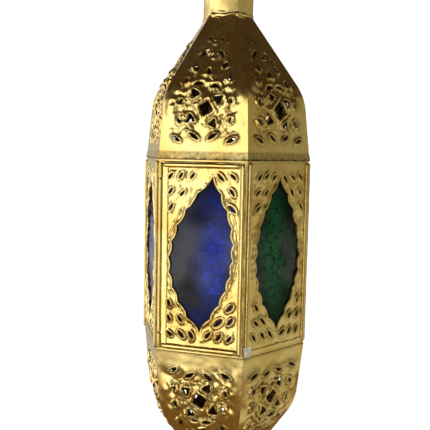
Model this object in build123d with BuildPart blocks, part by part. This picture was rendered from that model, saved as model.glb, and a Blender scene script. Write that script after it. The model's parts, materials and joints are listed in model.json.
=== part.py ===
from build123d import *
import os
from math import atan, cos, degrees, radians, sin, sqrt, tan

# A six-sided pierced brass candle lantern that hangs from a ring.
# Origin: the point inside the ring where a hook carries it. +Z is up and the door faces -Y.
# Lengths are in millimetres, angles in degrees.

# Body
side_count = 6
side_width = 65.0
body_height = 134.0
sheet_thickness = 0.8
seam_gap = 0.1
overrun = 2.0

# Rims between the body and the domes
rim_width = 10.0
rim_thickness = 1.6
rim_recess = 0.4

# Petals of the two domes
dome_height = 105.0
shoulder_height = 47.0
shoulder_radius = 45.0
skirt_lean = 5.5
foot_band_height = 6.5
foot_band_proud = 0.5

# Piercing of a petal
rosette_diamond_length = 11.6
rosette_diamond_width = 10.6
rosette_triangle_radius = 4.0
rosette_spread = 11.6
petal_leaf_length = 9.0
petal_leaf_width = 3.0
crown_triangle_radius = 3.2
crown_square_radius = 2.2
rosette_height_share = 0.33
# Leaves: height up the dome, place across the half width, turn in degrees
petal_leaf_shares = [(0.135, 0.63, 25), (0.15, 0.22, 30), (0.7, 0.27, -40)]
crown_height_share = 0.585
crown_square_height_share = 0.612
crown_square_place_share = 0.42

# Neck and bottom collar, across their flats
neck_width = 32.6
neck_height = 26.0
neck_twist = 7.5
neck_fold_height = 2.4
neck_fold_proud = 0.9
collar_height = 9.0

# Caps that close the neck and the collar
cap_overhang = 2.0
cap_brim = 1.0
cap_brim_lap = 1.6
cap_seat_width = 14.0
cap_seat_thickness = 1.2
roof_height = 9.0
bottom_cap_height = 6.0

# Hanging ring and the eye bolt that it carries
ring_hole_radius = 13.0
ring_width = 3.6
ring_thickness = 2.8
link_gap = 0.2
eye_hole_radius = 4.0
eye_wall = 3.2
eye_thickness = 3.2
eye_sink = 1.4
eye_washer_radius = 5.0
eye_washer_height = 2.6
stem_radius = 1.9
stem_clearance = 0.1
stem_spare = 1.5
nut_width = 7.0
nut_height = 3.0

# Six-sided drop under the bottom cap, across half its flats
finial_flange_radius = 5.5
finial_flange_height = 1.6
finial_waist_radius = 3.0
finial_belly_radius = 6.2
finial_belly_drop = 7.0
finial_tip_radius = 0.8
finial_drop_height = 20.0

# Corner angles behind the panels
post_leg = 4.5
post_thickness = 1.0

# Panels and their rolled edges
panel_edge_inset = 0.9
bead_inset = 2.5
bead_radius = 1.4
hem_height = 4.0
hem_end_gap = 0.4

# Glass panes and the clips that hold them
glass_thickness = 2.5
pane_gap = 0.2
pane_end_clearance = 7.5
pane_side_lap = 1.9
pane_end_lap = 7.5
clip_thickness = 0.5
clip_width = 14.0
clip_reach = 3.0

# Scalloped window and the slits that fill the corners round it
scallop_count = 10
scallop_depth = 0.7
side_window_lean = 0.0
door_window_lean = 8.0
slit_length = 6.6
slit_width = 2.2
slit_turn = 50
slit_rows = 3
slit_pitch = 8.3
slit_row_pitch = 11.0
slit_tip_rise = 3.0
slit_edge_margin = 3.0
slit_window_margin = 5.5

# Door and its hinge
door_gap = 0.25
door_end_clearance = 0.5
door_edge_inset = 1.2
door_border = 4.0
door_border_thickness = 0.5
door_bead_radius = 1.5
hinge_inset = 2.5
hinge_wire_radius = 0.6
hinge_bore_clearance = 0.05
hinge_head_radius = 1.1
hinge_head_height = 0.6
barrel_radius = 1.4
barrel_clearance = 0.3
knuckle_length = 10.0
knuckle_gap = 0.3
knuckle_end_inset = 1.2
knuckle_foot_width = 2.4

# Spring tab that rubs on the corner angle and keeps the door shut
catch_width = 8.0
catch_foot = 1.2
catch_reach = 5.0
catch_thickness = 0.6
catch_clearance = 0.7

# Candle holder
bar_width = 16.0
bar_thickness = 1.5
bar_lap = 6.0
pan_radius = 27.0
pan_lip_height = 5.0
pan_thickness = 0.8
candle_bore = 22.4
cup_wall = 0.8
cup_height = 22.0
cup_floor = 1.0

# The hexagon
face_turn = 360 / side_count
half_turn = radians(face_turn / 2)
apothem = side_width / 2 / tan(half_turn)
sheet_apothem = apothem - sheet_thickness
rim_apothem = apothem - rim_recess
neck_apothem = neck_width / 2

# Levels from the hook down
ring_level = -ring_hole_radius
link_level = ring_level - ring_hole_radius - ring_width / 2
link_reach = sqrt(ring_width**2 + ring_thickness**2) / 2 + link_gap
eye_radius = eye_hole_radius + eye_wall
eye_level = link_level + link_reach - eye_hole_radius
roof_seat_level = eye_level - eye_radius + eye_sink - eye_washer_height
roof_level = roof_seat_level - roof_height
neck_level = roof_level - neck_height
dome_level = neck_level - dome_height
body_top_level = dome_level - rim_thickness
middle_level = body_top_level - body_height / 2
body_level = body_top_level - body_height
collar_level = 2 * middle_level - neck_level - collar_height
bottom_seat_level = collar_level - bottom_cap_height

# Places on the front face, measured from its middle
post_edge = sheet_apothem * tan(half_turn) - post_leg
catch_place = post_edge - catch_clearance
pane_half_width = catch_place - catch_foot - pane_gap
pane_half_height = body_height / 2 - pane_end_clearance
window_half_width = pane_half_width - pane_side_lap
window_half_height = pane_half_height - pane_end_lap
hinge_place = side_width / 2 - hinge_inset
hinge_apothem = sheet_apothem + barrel_clearance + barrel_radius
hinge_bore_radius = hinge_wire_radius + hinge_bore_clearance
door_left = -hinge_place + barrel_radius + barrel_clearance
door_right = side_width / 2 - door_edge_inset
door_half_height = body_height / 2 - door_end_clearance
door_apothem = apothem + door_gap
knuckle_level = body_level + knuckle_end_inset
barrel_level = knuckle_level + knuckle_length + knuckle_gap
barrel_length = 2 * (middle_level - barrel_level)

# Levels of the candle holder
bar_top_level = body_level + bar_thickness
cup_level = bar_top_level + pan_thickness
bar_half_length = rim_apothem - rim_width + bar_lap

os.makedirs("parts", exist_ok=True)


def front_plane(reach, level):
    """Upright plane parallel to the front face, seen from outside, with X to the right and Y up."""
    return Plane((0, -reach, level), x_dir=(1, 0, 0), z_dir=(0, -1, 0))


def section_plane(place, level):
    """Upright plane across the front face, with X pointing out of the lantern and Y up."""
    return Plane((place, 0, level), x_dir=(0, -1, 0), z_dir=(-1, 0, 0))


def half_round(centre, radius, start):
    """Half disc whose arc runs for a half turn from the start angle."""
    with BuildLine() as outline:
        edge = CenterArc(centre, radius, start, 180)
        Line(edge @ 1, edge @ 0)
    make_face(outline.edges())


def hexagon(flat_radius, turn=0, mode=Mode.ADD):
    RegularPolygon(flat_radius, side_count, major_radius=False, rotation=turn, mode=mode)


def rhombus(length, width, turn=0):
    Polygon((-length / 2, 0), (0, -width / 2), (length / 2, 0), (0, width / 2), rotation=turn)


def turned(piece, steps):
    return Rot(0, 0, face_turn * steps) * piece


def save(piece, name):
    piece.label = name
    export_step(piece, f"parts/{name}.step")


# Hanging ring, cut from plate
with BuildPart() as hanging_ring:
    with BuildSketch(Plane.XZ):
        with Locations((0, ring_level)):
            Circle(ring_hole_radius + ring_width)
            Circle(ring_hole_radius, mode=Mode.SUBTRACT)
    extrude(amount=ring_thickness / 2, both=True)
save(hanging_ring.part, "hanging_ring")

# Eye bolt: flat eye, six-sided washer and stem in one casting
stem_level = roof_seat_level - cap_seat_thickness - nut_height - stem_spare
with BuildPart() as eye_bolt:
    with BuildSketch(Plane.XY.offset(roof_seat_level)):
        hexagon(eye_washer_radius)
    extrude(amount=eye_washer_height)
    with BuildSketch(Plane.YZ):
        with Locations((0, eye_level)):
            Circle(eye_radius)
    extrude(amount=eye_thickness / 2, both=True)
    with BuildSketch(Plane.YZ):
        with Locations((0, eye_level)):
            Circle(eye_hole_radius)
    extrude(amount=eye_thickness, both=True, mode=Mode.SUBTRACT)
    with BuildSketch(Plane.XY.offset(stem_level)):
        Circle(stem_radius)
    extrude(amount=roof_seat_level - stem_level)
save(eye_bolt.part, "eye_bolt")


def make_nut(level):
    with BuildPart() as nut:
        with BuildSketch(Plane.XY.offset(level)):
            hexagon(nut_width / 2)
            Circle(stem_radius + stem_clearance, mode=Mode.SUBTRACT)
        extrude(amount=nut_height)
    return nut.part


save(make_nut(roof_seat_level - cap_seat_thickness - nut_height), "eye_nut")


def frustum(level, height, start_apothem, end_apothem, turn=0, mode=Mode.ADD):
    """Six-sided block from a level up, whose sides lean in to the apothem of its top."""
    with BuildSketch(Plane.XY.offset(level)) as base:
        hexagon(start_apothem, turn)
    side_lean = degrees(atan((start_apothem - end_apothem) / height))
    extrude(base.sketch, amount=height, taper=side_lean, mode=mode)


def make_cap(level, height, turn):
    """Six-sided sheet cap: a flat brim, a hollow pyramid and a flat seat with the stem's hole."""
    brim_apothem = neck_apothem + cap_overhang
    seat_apothem = cap_seat_width / 2
    hollow_apothem = neck_apothem - sheet_thickness - cap_brim_lap
    with BuildPart() as cap:
        frustum(level, cap_brim, brim_apothem, brim_apothem, turn)
        frustum(level + cap_brim, height - cap_brim, brim_apothem, seat_apothem, turn)
        hollow_height = height - cap_seat_thickness
        frustum(level, hollow_height, hollow_apothem, seat_apothem - sheet_thickness, turn, Mode.SUBTRACT)
        with BuildSketch(Plane.XY.offset(level)):
            Circle(stem_radius + stem_clearance)
        extrude(amount=height, mode=Mode.SUBTRACT)
    return cap.part


# Caps of the neck and of the collar, the second one upside down
save(make_cap(roof_level, roof_height, neck_twist), "roof_cap")
bottom_cap = mirror(make_cap(-collar_level, bottom_cap_height, 0), about=Plane.XY)
save(bottom_cap, "bottom_cap")

# Neck: six-sided tube with a folded foot, set on the dome by hand and a little twisted
with BuildPart() as neck:
    with BuildSketch(Plane.XY.offset(neck_level)):
        hexagon(neck_apothem, neck_twist)
    extrude(amount=neck_height)
    with BuildSketch(Plane.XY.offset(neck_level)):
        hexagon(neck_apothem + neck_fold_proud, neck_twist)
    extrude(amount=neck_fold_height)
    with BuildSketch(Plane.XY.offset(neck_level)):
        hexagon(neck_apothem - sheet_thickness, neck_twist)
    extrude(amount=neck_height, mode=Mode.SUBTRACT)
save(neck.part, "neck")

# Collar under the lower dome
with BuildPart() as bottom_collar:
    with BuildSketch(Plane.XY.offset(collar_level)):
        hexagon(neck_apothem)
        hexagon(neck_apothem - sheet_thickness, mode=Mode.SUBTRACT)
    extrude(amount=collar_height)
save(bottom_collar.part, "bottom_collar")

# Six-sided drop with its stem through the bottom cap, and the nut inside
finial_waist_level = bottom_seat_level - finial_flange_height
finial_belly_level = finial_waist_level - finial_belly_drop
with BuildPart() as upturned_tip:
    frustum(-finial_belly_level, finial_drop_height - finial_belly_drop, finial_belly_radius, finial_tip_radius)
with BuildPart() as finial:
    add(mirror(upturned_tip.part, about=Plane.XY))
    frustum(finial_belly_level, finial_belly_drop, finial_belly_radius, finial_waist_radius)
    frustum(finial_waist_level, finial_flange_height, finial_flange_radius, finial_flange_radius)
    with BuildSketch(Plane.XY.offset(bottom_seat_level)):
        Circle(stem_radius)
    extrude(amount=cap_seat_thickness + nut_height + stem_spare)
save(finial.part, "finial")
save(make_nut(bottom_seat_level + cap_seat_thickness), "finial_nut")


# Petal section: a leaning skirt, a rounded shoulder and a straight roof
lean = radians(skirt_lean)
shoulder_apothem = apothem - shoulder_height * tan(lean)
roof_lean = atan((shoulder_apothem - neck_apothem) / (dome_height - shoulder_height))
shoulder_inset = sheet_thickness / cos((roof_lean - lean) / 2)
shoulder_turn = (roof_lean + lean) / 2
dome_shoulder = (shoulder_apothem, shoulder_height)
dome_top = (neck_apothem, dome_height)
inner_shoulder = (
    shoulder_apothem - shoulder_inset * cos(shoulder_turn),
    shoulder_height - shoulder_inset * sin(shoulder_turn),
)
inner_top = (neck_apothem - sheet_thickness / cos(roof_lean), dome_height)
inner_foot = (apothem - sheet_thickness / cos(lean), 0)
band_apothem = apothem + foot_band_proud


def petal_half_width(height):
    """Half the width of a petal at a height above its foot."""
    if height < shoulder_height:
        reach = apothem - height * tan(lean)
    else:
        reach = shoulder_apothem - (height - shoulder_height) * tan(roof_lean)
    return reach * tan(half_turn)


def petal_place(height_share, width_share):
    """Point on a petal from shares of its height and of its half width there."""
    height = height_share * dome_height
    return (width_share * petal_half_width(height), height)


def draw_petal_piercing():
    """A diamond among four triangles, leaves on both sides, and a crown of a triangle and two squares."""
    with Locations(petal_place(rosette_height_share, 0)):
        rhombus(rosette_diamond_width, rosette_diamond_length)
        with PolarLocations(rosette_spread, 4, start_angle=45):
            RegularPolygon(rosette_triangle_radius, 3)
    with Locations(petal_place(crown_height_share, 0)):
        RegularPolygon(crown_triangle_radius, 3, rotation=90)
    for side in (-1, 1):
        for height_share, width_share, turn in petal_leaf_shares:
            with Locations(petal_place(height_share, side * width_share)):
                rhombus(petal_leaf_length, petal_leaf_width, side * turn)
        with Locations(petal_place(crown_square_height_share, side * crown_square_place_share)):
            RegularPolygon(crown_square_radius, 4)


# One petal of the upper dome, above the front face
wedge_tip = seam_gap / sin(half_turn)
wedge_reach = band_apothem + overrun
wedge_half_width = (wedge_reach - wedge_tip) * tan(half_turn)
with BuildPart() as petal:
    with BuildSketch(Plane.XY.offset(dome_level)):
        with BuildLine():
            Polyline(
                (0, -wedge_tip),
                (wedge_half_width, -wedge_reach),
                (-wedge_half_width, -wedge_reach),
                close=True,
            )
        make_face()
    extrude(amount=dome_height)
    with BuildSketch(section_plane(0, dome_level)):
        with BuildLine():
            band_top = (apothem - foot_band_height * tan(lean), foot_band_height)
            FilletPolyline(band_top, dome_shoulder, dome_top, radius=shoulder_radius)
            Line(dome_top, inner_top)
            FilletPolyline(inner_top, inner_shoulder, inner_foot, radius=shoulder_radius - sheet_thickness)
            Polyline(inner_foot, (band_apothem, 0), (band_apothem, foot_band_height), band_top)
        make_face()
    extrude(amount=side_width, both=True, mode=Mode.INTERSECT)
    with BuildSketch(front_plane(wedge_reach, dome_level)):
        draw_petal_piercing()
    extrude(amount=neck_apothem - wedge_reach, mode=Mode.SUBTRACT)
for step in range(side_count):
    save(turned(petal.part, step), f"upper_petal_{step + 1}")
lower_petal = mirror(petal.part, about=Plane.XY.offset(middle_level))
for step in range(side_count):
    save(turned(lower_petal, step), f"lower_petal_{step + 1}")


# Rims: flat hexagonal rings between the body and the domes
def make_rim(level):
    with BuildPart() as rim:
        with BuildSketch(Plane.XY.offset(level)):
            hexagon(rim_apothem)
            hexagon(rim_apothem - rim_width, mode=Mode.SUBTRACT)
        extrude(amount=rim_thickness)
    return rim.part


save(make_rim(body_top_level), "upper_rim")
save(make_rim(body_level - rim_thickness), "lower_rim")

# Corner angles behind the panels, the first one at the corner on +X
leg_x = -post_leg * sin(half_turn)
leg_y = post_leg * cos(half_turn)
post_tip = sheet_apothem / cos(half_turn)
post_inner_tip = post_tip - post_thickness / cos(half_turn)
leg_inner_x = leg_x - post_thickness * cos(half_turn)
leg_inner_y = leg_y - post_thickness * sin(half_turn)
with BuildPart() as corner_post:
    with BuildSketch(Plane.XY.offset(body_level)):
        with BuildLine():
            Polyline(
                (post_tip, 0),
                (post_tip + leg_x, leg_y),
                (post_tip + leg_inner_x, leg_inner_y),
                (post_inner_tip, 0),
                (post_tip + leg_inner_x, -leg_inner_y),
                (post_tip + leg_x, -leg_y),
                close=True,
            )
        make_face()
    extrude(amount=body_height)
for step in range(side_count):
    save(turned(corner_post.part, step), f"corner_post_{step + 1}")


def window_edge(height, side, tip_lean):
    """Distance of the window's edge from the face's middle, at a height above the middle."""
    if abs(height) > window_half_height:
        return tip_lean
    arc_radius = (window_half_width**2 + window_half_height**2) / (2 * window_half_width)
    bulge = sqrt(arc_radius**2 - height**2) - arc_radius + window_half_width
    height_share = abs(height) / window_half_height
    return side * bulge + tip_lean * height_share * (1 + height_share) / 2


def slit_places(tip_lean):
    """Centres and turns of the slits that fill the four corners beside the window."""
    places = []
    outer = pane_half_width - slit_edge_margin
    for end in (-1, 1):
        end_lean = tip_lean if end > 0 else 0
        for side in (-1, 1):
            for row in range(slit_rows):
                height = window_half_height + slit_tip_rise - row * slit_row_pitch
                inner = window_edge(height, side, end_lean) + side * slit_window_margin
                room = outer - side * inner
                count = min(slit_rows - row, int(room / slit_pitch) + 1)
                for column in range(count):
                    centre = (side * (outer - column * slit_pitch), end * height)
                    places.append((centre, -side * end * slit_turn))
    return places


def draw_panel_piercing(tip_lean):
    """Pointed window edged with small lobes, and the slits round it."""
    top = (tip_lean, window_half_height)
    bottom = (0, -window_half_height)
    with BuildLine() as outline:
        for side in (-1, 1):
            edge = ThreePointArc(top, (side * window_half_width, 0), bottom, mode=Mode.PRIVATE)
            cusps = [edge @ (index / scallop_count) for index in range(scallop_count + 1)]
            for start, end in zip(cusps, cusps[1:]):
                SagittaArc(start, end, -side * scallop_depth)
    make_face(outline.edges())
    for centre, turn in slit_places(tip_lean):
        with Locations(centre):
            rhombus(slit_length, slit_width, turn)


# Side panel on the front face, turned to the five closed sides: pierced sheet with rolled upright
# edges and its bottom edge folded up into a hem
panel_half_width = side_width / 2 - panel_edge_inset
bead_place = side_width / 2 - bead_inset
with BuildPart() as side_panel:
    with BuildSketch(front_plane(apothem, middle_level)):
        Rectangle(2 * panel_half_width, body_height)
    extrude(amount=-sheet_thickness)
    with BuildSketch(front_plane(apothem, middle_level)):
        draw_panel_piercing(side_window_lean)
    extrude(amount=-sheet_thickness, mode=Mode.SUBTRACT)
    with BuildSketch(Plane.XY.offset(body_level)):
        for side in (-1, 1):
            half_round((side * bead_place, -apothem), bead_radius, 180)
    extrude(amount=body_height)
    with BuildSketch(front_plane(apothem, body_level + hem_height / 2)):
        Rectangle(2 * (bead_place - bead_radius - hem_end_gap), hem_height)
    extrude(amount=sheet_thickness)
for step in range(1, side_count):
    save(turned(side_panel.part, step), f"side_panel_{step}")


# Glass panes: flat sheets that lie against the inside of the pierced brass
def make_pane(outer_apothem):
    with BuildPart() as pane:
        with BuildSketch(front_plane(outer_apothem, middle_level)):
            Rectangle(2 * pane_half_width, 2 * pane_half_height)
        extrude(amount=-glass_thickness)
    return pane.part


def make_clips(outer_apothem):
    """One bent clip over the top edge of a pane and one over its bottom edge."""
    pane_back = outer_apothem - glass_thickness
    edge = pane_half_height + pane_gap
    with BuildPart() as clips:
        with BuildSketch(section_plane(0, middle_level)):
            with BuildLine():
                Polyline(
                    (outer_apothem, edge),
                    (outer_apothem, edge + clip_thickness + clip_reach),
                    (outer_apothem - clip_thickness, edge + clip_thickness + clip_reach),
                    (outer_apothem - clip_thickness, edge + clip_thickness),
                    (pane_back - clip_thickness, edge + clip_thickness),
                    (pane_back - clip_thickness, pane_half_height - clip_reach),
                    (pane_back, pane_half_height - clip_reach),
                    (pane_back, edge),
                    close=True,
                )
            make_face()
            mirror(about=Plane.XZ)
        extrude(amount=clip_width / 2, both=True)
    return clips.part


side_glass = make_pane(sheet_apothem)
side_clips = make_clips(sheet_apothem)
for step in range(1, side_count):
    save(turned(side_glass, step), f"side_glass_{step}")
with BuildPart() as glass_clips:
    for step in range(1, side_count):
        add(turned(side_clips, step))
save(glass_clips.part, "glass_clips")

# Door: pierced sheet in front of the corner angles
door_width = door_right - door_left
door_middle = (door_left + door_right) / 2
with BuildPart() as door_panel:
    with BuildSketch(front_plane(door_apothem, middle_level)):
        with Locations((door_middle, 0)):
            Rectangle(door_width, 2 * door_half_height)
    extrude(amount=-sheet_thickness)
    with BuildSketch(front_plane(door_apothem, middle_level)):
        draw_panel_piercing(door_window_lean)
    extrude(amount=-sheet_thickness, mode=Mode.SUBTRACT)
save(door_panel.part, "door_panel")
save(make_pane(door_apothem - sheet_thickness), "door_glass")
save(make_clips(door_apothem - sheet_thickness), "door_clips")

# Door frame: flat border, half-round beads on three sides and the hinge barrel on the fourth
door_bead_place = door_right - door_bead_radius
door_bead_height = door_half_height - door_bead_radius
with BuildPart() as door_frame:
    with BuildSketch(front_plane(door_apothem, middle_level)):
        with Locations((door_middle, 0)):
            Rectangle(door_width, 2 * door_half_height)
            Rectangle(door_width - 2 * door_border, 2 * (door_half_height - door_border), mode=Mode.SUBTRACT)
        with Locations(((door_left - hinge_place) / 2, 0)):
            Rectangle(door_left + hinge_place, barrel_length)
    extrude(amount=door_border_thickness)
    with BuildSketch(Plane.XY.offset(middle_level - door_half_height)):
        half_round((door_bead_place, -door_apothem), door_bead_radius, 180)
    extrude(amount=2 * door_half_height)
    with BuildSketch(section_plane(door_left, middle_level)):
        for end in (-1, 1):
            half_round((door_apothem, end * door_bead_height), door_bead_radius, -90)
    extrude(amount=door_left - door_bead_place)
    with BuildSketch(Plane.XY.offset(barrel_level)):
        with Locations((-hinge_place, -hinge_apothem)):
            Circle(barrel_radius)
    extrude(amount=barrel_length)
    with BuildSketch(Plane.XY.offset(barrel_level)):
        with Locations((-hinge_place, -hinge_apothem)):
            Circle(hinge_bore_radius)
    extrude(amount=barrel_length, mode=Mode.SUBTRACT)
save(door_frame.part, "door_frame")

# Friction tab soldered inside the door's free edge
with BuildPart() as door_catch:
    with BuildSketch(Plane.XY.offset(middle_level - catch_width / 2)):
        with BuildLine():
            inner_face = sheet_thickness - door_apothem
            Polyline(
                (catch_place, inner_face),
                (catch_place, inner_face + catch_reach),
                (catch_place - catch_thickness, inner_face + catch_reach),
                (catch_place - catch_thickness, inner_face + catch_thickness),
                (catch_place - catch_foot, inner_face + catch_thickness),
                (catch_place - catch_foot, inner_face),
                close=True,
            )
        make_face()
    extrude(amount=catch_width)
save(door_catch.part, "door_catch")

# Fixed knuckles: two tubes on feet soldered to the corner angle
knuckle_foot_height = hinge_apothem - sheet_apothem
top_knuckle_level = 2 * middle_level - knuckle_level - knuckle_length
with BuildPart() as hinge_knuckles:
    for level in (knuckle_level, top_knuckle_level):
        with BuildSketch(Plane.XY.offset(level)):
            with Locations((-hinge_place, -hinge_apothem)):
                Circle(barrel_radius)
            with Locations((-hinge_place, -sheet_apothem - knuckle_foot_height / 2)):
                Rectangle(knuckle_foot_width, knuckle_foot_height)
            with Locations((-hinge_place, -hinge_apothem)):
                Circle(hinge_bore_radius, mode=Mode.SUBTRACT)
        extrude(amount=knuckle_length)
save(hinge_knuckles.part, "hinge_knuckles")

# Hinge wire, dropped in from above, with a peened head on top
with BuildPart() as hinge_pin:
    with BuildSketch(Plane.XY.offset(knuckle_level)):
        with Locations((-hinge_place, -hinge_apothem)):
            Circle(hinge_wire_radius)
    extrude(amount=2 * (middle_level - knuckle_level))
    with BuildSketch(Plane.XY.offset(top_knuckle_level + knuckle_length)):
        with Locations((-hinge_place, -hinge_apothem)):
            Circle(hinge_head_radius)
    extrude(amount=hinge_head_height)
save(hinge_pin.part, "hinge_pin")

# Candle bar soldered across the lower rim
with BuildPart() as candle_bar:
    with BuildSketch(Plane.XY.offset(body_level)):
        Rectangle(bar_width, 2 * bar_half_length)
    extrude(amount=bar_thickness)
save(candle_bar.part, "candle_bar")

# Six-sided drip pan with an upright lip, folded from sheet
with BuildPart() as drip_pan:
    with BuildSketch(Plane.XY.offset(bar_top_level)):
        hexagon(pan_radius)
    extrude(amount=pan_lip_height)
    with BuildSketch(Plane.XY.offset(cup_level)):
        hexagon(pan_radius - pan_thickness)
    extrude(amount=pan_lip_height, mode=Mode.SUBTRACT)
save(drip_pan.part, "drip_pan")

# Candle cup
with BuildPart() as candle_cup:
    with BuildSketch(Plane.XY.offset(cup_level)):
        Circle(candle_bore / 2 + cup_wall)
    extrude(amount=cup_height)
    with BuildSketch(Plane.XY.offset(cup_level + cup_floor)):
        Circle(candle_bore / 2)
    extrude(amount=cup_height, mode=Mode.SUBTRACT)
save(candle_cup.part, "candle_cup")
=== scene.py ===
import json
import math

import bmesh
import bpy
import numpy as np
from mathutils import Matrix, Vector
from mathutils.geometry import delaunay_2d_cdt

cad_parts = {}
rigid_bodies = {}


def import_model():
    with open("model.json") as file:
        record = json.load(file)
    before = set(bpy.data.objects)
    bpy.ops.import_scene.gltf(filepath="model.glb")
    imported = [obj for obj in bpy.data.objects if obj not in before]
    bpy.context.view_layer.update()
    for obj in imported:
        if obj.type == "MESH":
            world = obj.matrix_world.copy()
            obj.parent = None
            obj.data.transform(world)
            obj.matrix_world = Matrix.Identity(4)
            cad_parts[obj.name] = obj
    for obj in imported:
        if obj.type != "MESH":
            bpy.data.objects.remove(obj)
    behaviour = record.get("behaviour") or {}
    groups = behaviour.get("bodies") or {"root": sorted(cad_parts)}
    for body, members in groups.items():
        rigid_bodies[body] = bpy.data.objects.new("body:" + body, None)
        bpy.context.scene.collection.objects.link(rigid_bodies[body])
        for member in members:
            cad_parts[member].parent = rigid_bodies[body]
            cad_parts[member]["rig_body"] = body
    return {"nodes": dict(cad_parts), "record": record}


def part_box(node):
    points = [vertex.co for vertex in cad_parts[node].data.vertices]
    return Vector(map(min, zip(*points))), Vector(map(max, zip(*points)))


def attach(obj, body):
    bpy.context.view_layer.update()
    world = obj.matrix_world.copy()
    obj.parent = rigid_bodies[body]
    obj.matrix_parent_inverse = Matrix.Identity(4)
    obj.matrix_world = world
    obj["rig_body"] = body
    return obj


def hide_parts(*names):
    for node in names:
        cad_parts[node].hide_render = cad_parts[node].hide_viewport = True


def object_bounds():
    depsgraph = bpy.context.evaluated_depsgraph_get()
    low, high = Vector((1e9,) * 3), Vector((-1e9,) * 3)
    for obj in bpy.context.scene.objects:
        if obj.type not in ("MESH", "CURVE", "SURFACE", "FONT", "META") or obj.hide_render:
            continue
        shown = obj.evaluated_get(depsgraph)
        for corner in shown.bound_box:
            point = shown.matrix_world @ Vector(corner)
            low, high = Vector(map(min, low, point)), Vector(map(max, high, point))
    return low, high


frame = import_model()
cad_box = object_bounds()

# Looks of a six-sided pierced brass candle lantern.
# Lengths are in millimetres and become metres when a mesh is made. Angles are written in degrees.
MM = 0.001
X, Y, Z = 0, 1, 2
SIDES = 6
FACE_TURN = 360 / SIDES
HALF_FACE_TAN = math.tan(math.radians(FACE_TURN / 2))
TINY = 1e-9


def lowest(node, axis):
    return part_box(node)[0][axis] / MM


def highest(node, axis):
    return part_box(node)[1][axis] / MM


# Slots, levels and reaches read from the frame
SLOTS = {entry["node"]: entry["material_slot"] for entry in frame["record"]["subparts"]}
BODY_TOP = lowest("upper_rim", Z)
BODY_BOTTOM = highest("lower_rim", Z)
BODY_MIDDLE = (BODY_TOP + BODY_BOTTOM) / 2
BODY_HALF_HEIGHT = (BODY_TOP - BODY_BOTTOM) / 2
UPPER_FOOT = lowest("upper_petal_1", Z)
LOWER_FOOT = highest("lower_petal_1", Z)
DOME_HEIGHT = highest("upper_petal_1", Z) - UPPER_FOOT
NECK_APOTHEM = highest("bottom_collar", Y)
NECK_BOTTOM = lowest("neck", Z)
NECK_HEIGHT = highest("neck", Z) - NECK_BOTTOM
DOOR_LOW, DOOR_HIGH = (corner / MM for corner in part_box("door_panel"))
PANE_LOW, PANE_HIGH = (np.array(corner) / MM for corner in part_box("door_glass"))

# Sheet brass
SHEET_THICKNESS = 0.8
RIM_RECESS = 0.4
APOTHEM = RIM_RECESS - lowest("upper_rim", Y)
SIDE_WIDTH = 2 * APOTHEM * HALF_FACE_TAN
# How dark the inside of the sheets is painted, as painted shade inside the lantern
INSIDE_SHADE = 0.9

# Camera, fitted to the corners of the body in the photograph
CAMERA_DISTANCE = 508.6
CAMERA_RISE = 7.7
CAMERA_AZIMUTH = math.radians(16.2)
CAMERA_HEADING = math.radians(16.98)
CAMERA_PITCH = math.radians(-5.53)
CAMERA_ROLL = math.radians(1.14)
CAMERA_LENS = 55.3
CAMERA_SENSOR = 36.0

# Brass: colours, finishes (span of the roughness, tarnish), layers (size of the noise, span of it over which
# the layer comes in) and dents (size, depth)
BRASS_BRIGHT = (0.95, 0.745, 0.285)
BRASS_DEEP = (0.83, 0.55, 0.15)
BRASS_TARNISH = (0.36, 0.21, 0.07)
# Painted shade: the dark colour of hollows, joints and the inside of the sheets
BRASS_SHADE = (0.05, 0.034, 0.017)
SHEET_FINISH = ((0.15, 0.3), 0.45)
FITTING_FINISH = ((0.2, 0.38), 0.6)
PATCHES = (26, (0.38, 0.68))
STAINS = (9, (0.58, 0.8))
STAIN_ROUGHNESS = 0.68
# Painted shade: noise that breaks it up, and how much duller it makes the polish
SHADE_BREAKUP = (2.2, (0.3, 0.65))
SHADE_SHARES = (0.4, 1.0)
SHADE_DULLNESS = 0.3
CLOUDS = (7, (0.3, 0.7))
DENTS = (11, 0.35)
SCRATCHES = (1.4, 0.012)
SCRATCH_STRETCH = (1, 1, 0.06)

# Glass: deep and bright colour, then how bright the ground and the lines of the figure are
BLUE_TONES = ((0.006, 0.006, 0.008), (0.014, 0.09, 1.0), 0.5, 1.0)
GREEN_TONES = ((0.002, 0.016, 0.006), (0.008, 0.16, 0.045), 1.0, 0.0)
GLASS_VALUES = {"Transmission Weight": 0.75, "IOR": 1.1, "Coat IOR": 1.5, "Coat Roughness": 0.07}
GLASS_POLISH = (0.03, 0.12)
FIGURE_SPAN = (0.15, 0.8)
GLASS_CLOUDS = (5, (0.3, 0.7))
GLASS_WAVES = (38, 3.0)
GLASS_PIMPLES = (2.6, 0.08)

# Tin solder, and the lump of it at the bottom of the corner beside the door
SOLDER_BRIGHT = (0.86, 0.87, 0.72)
SOLDER_DULL = (0.64, 0.65, 0.52)
SOLDER_METALLIC = 0.75
SOLDER_POLISH = (0.3, 0.6)
SOLDER_STAINS = (3.0, (0.35, 0.65))
SOLDER_CLOUDS = (0.9, (0.3, 0.7))
SOLDER_DENTS = (1.5, 0.1)
SOLDER_RADIUS = 2.4
SOLDER_STRETCH = (1.15, 0.58, 1.6)
SOLDER_RISE = 3.4
SOLDER_LUMP_SHARE = 0.14
SOLDER_LUMP_LENGTH = 2.2
SOLDER_LUMP_SPREAD = 3

# Floor and studio
FLOOR_DROP = 900.0
FLOOR_RADIUS = 5000.0
FLOOR_CORNERS = 96
FLOOR_VALUES = {"Base Color": (0.96, 0.96, 0.96, 1), "Roughness": 0.9, "Specular IOR Level": 0.0}
WORLD_VALUES = {"Color": (1, 1, 1, 1), "Strength": 1.12}
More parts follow.
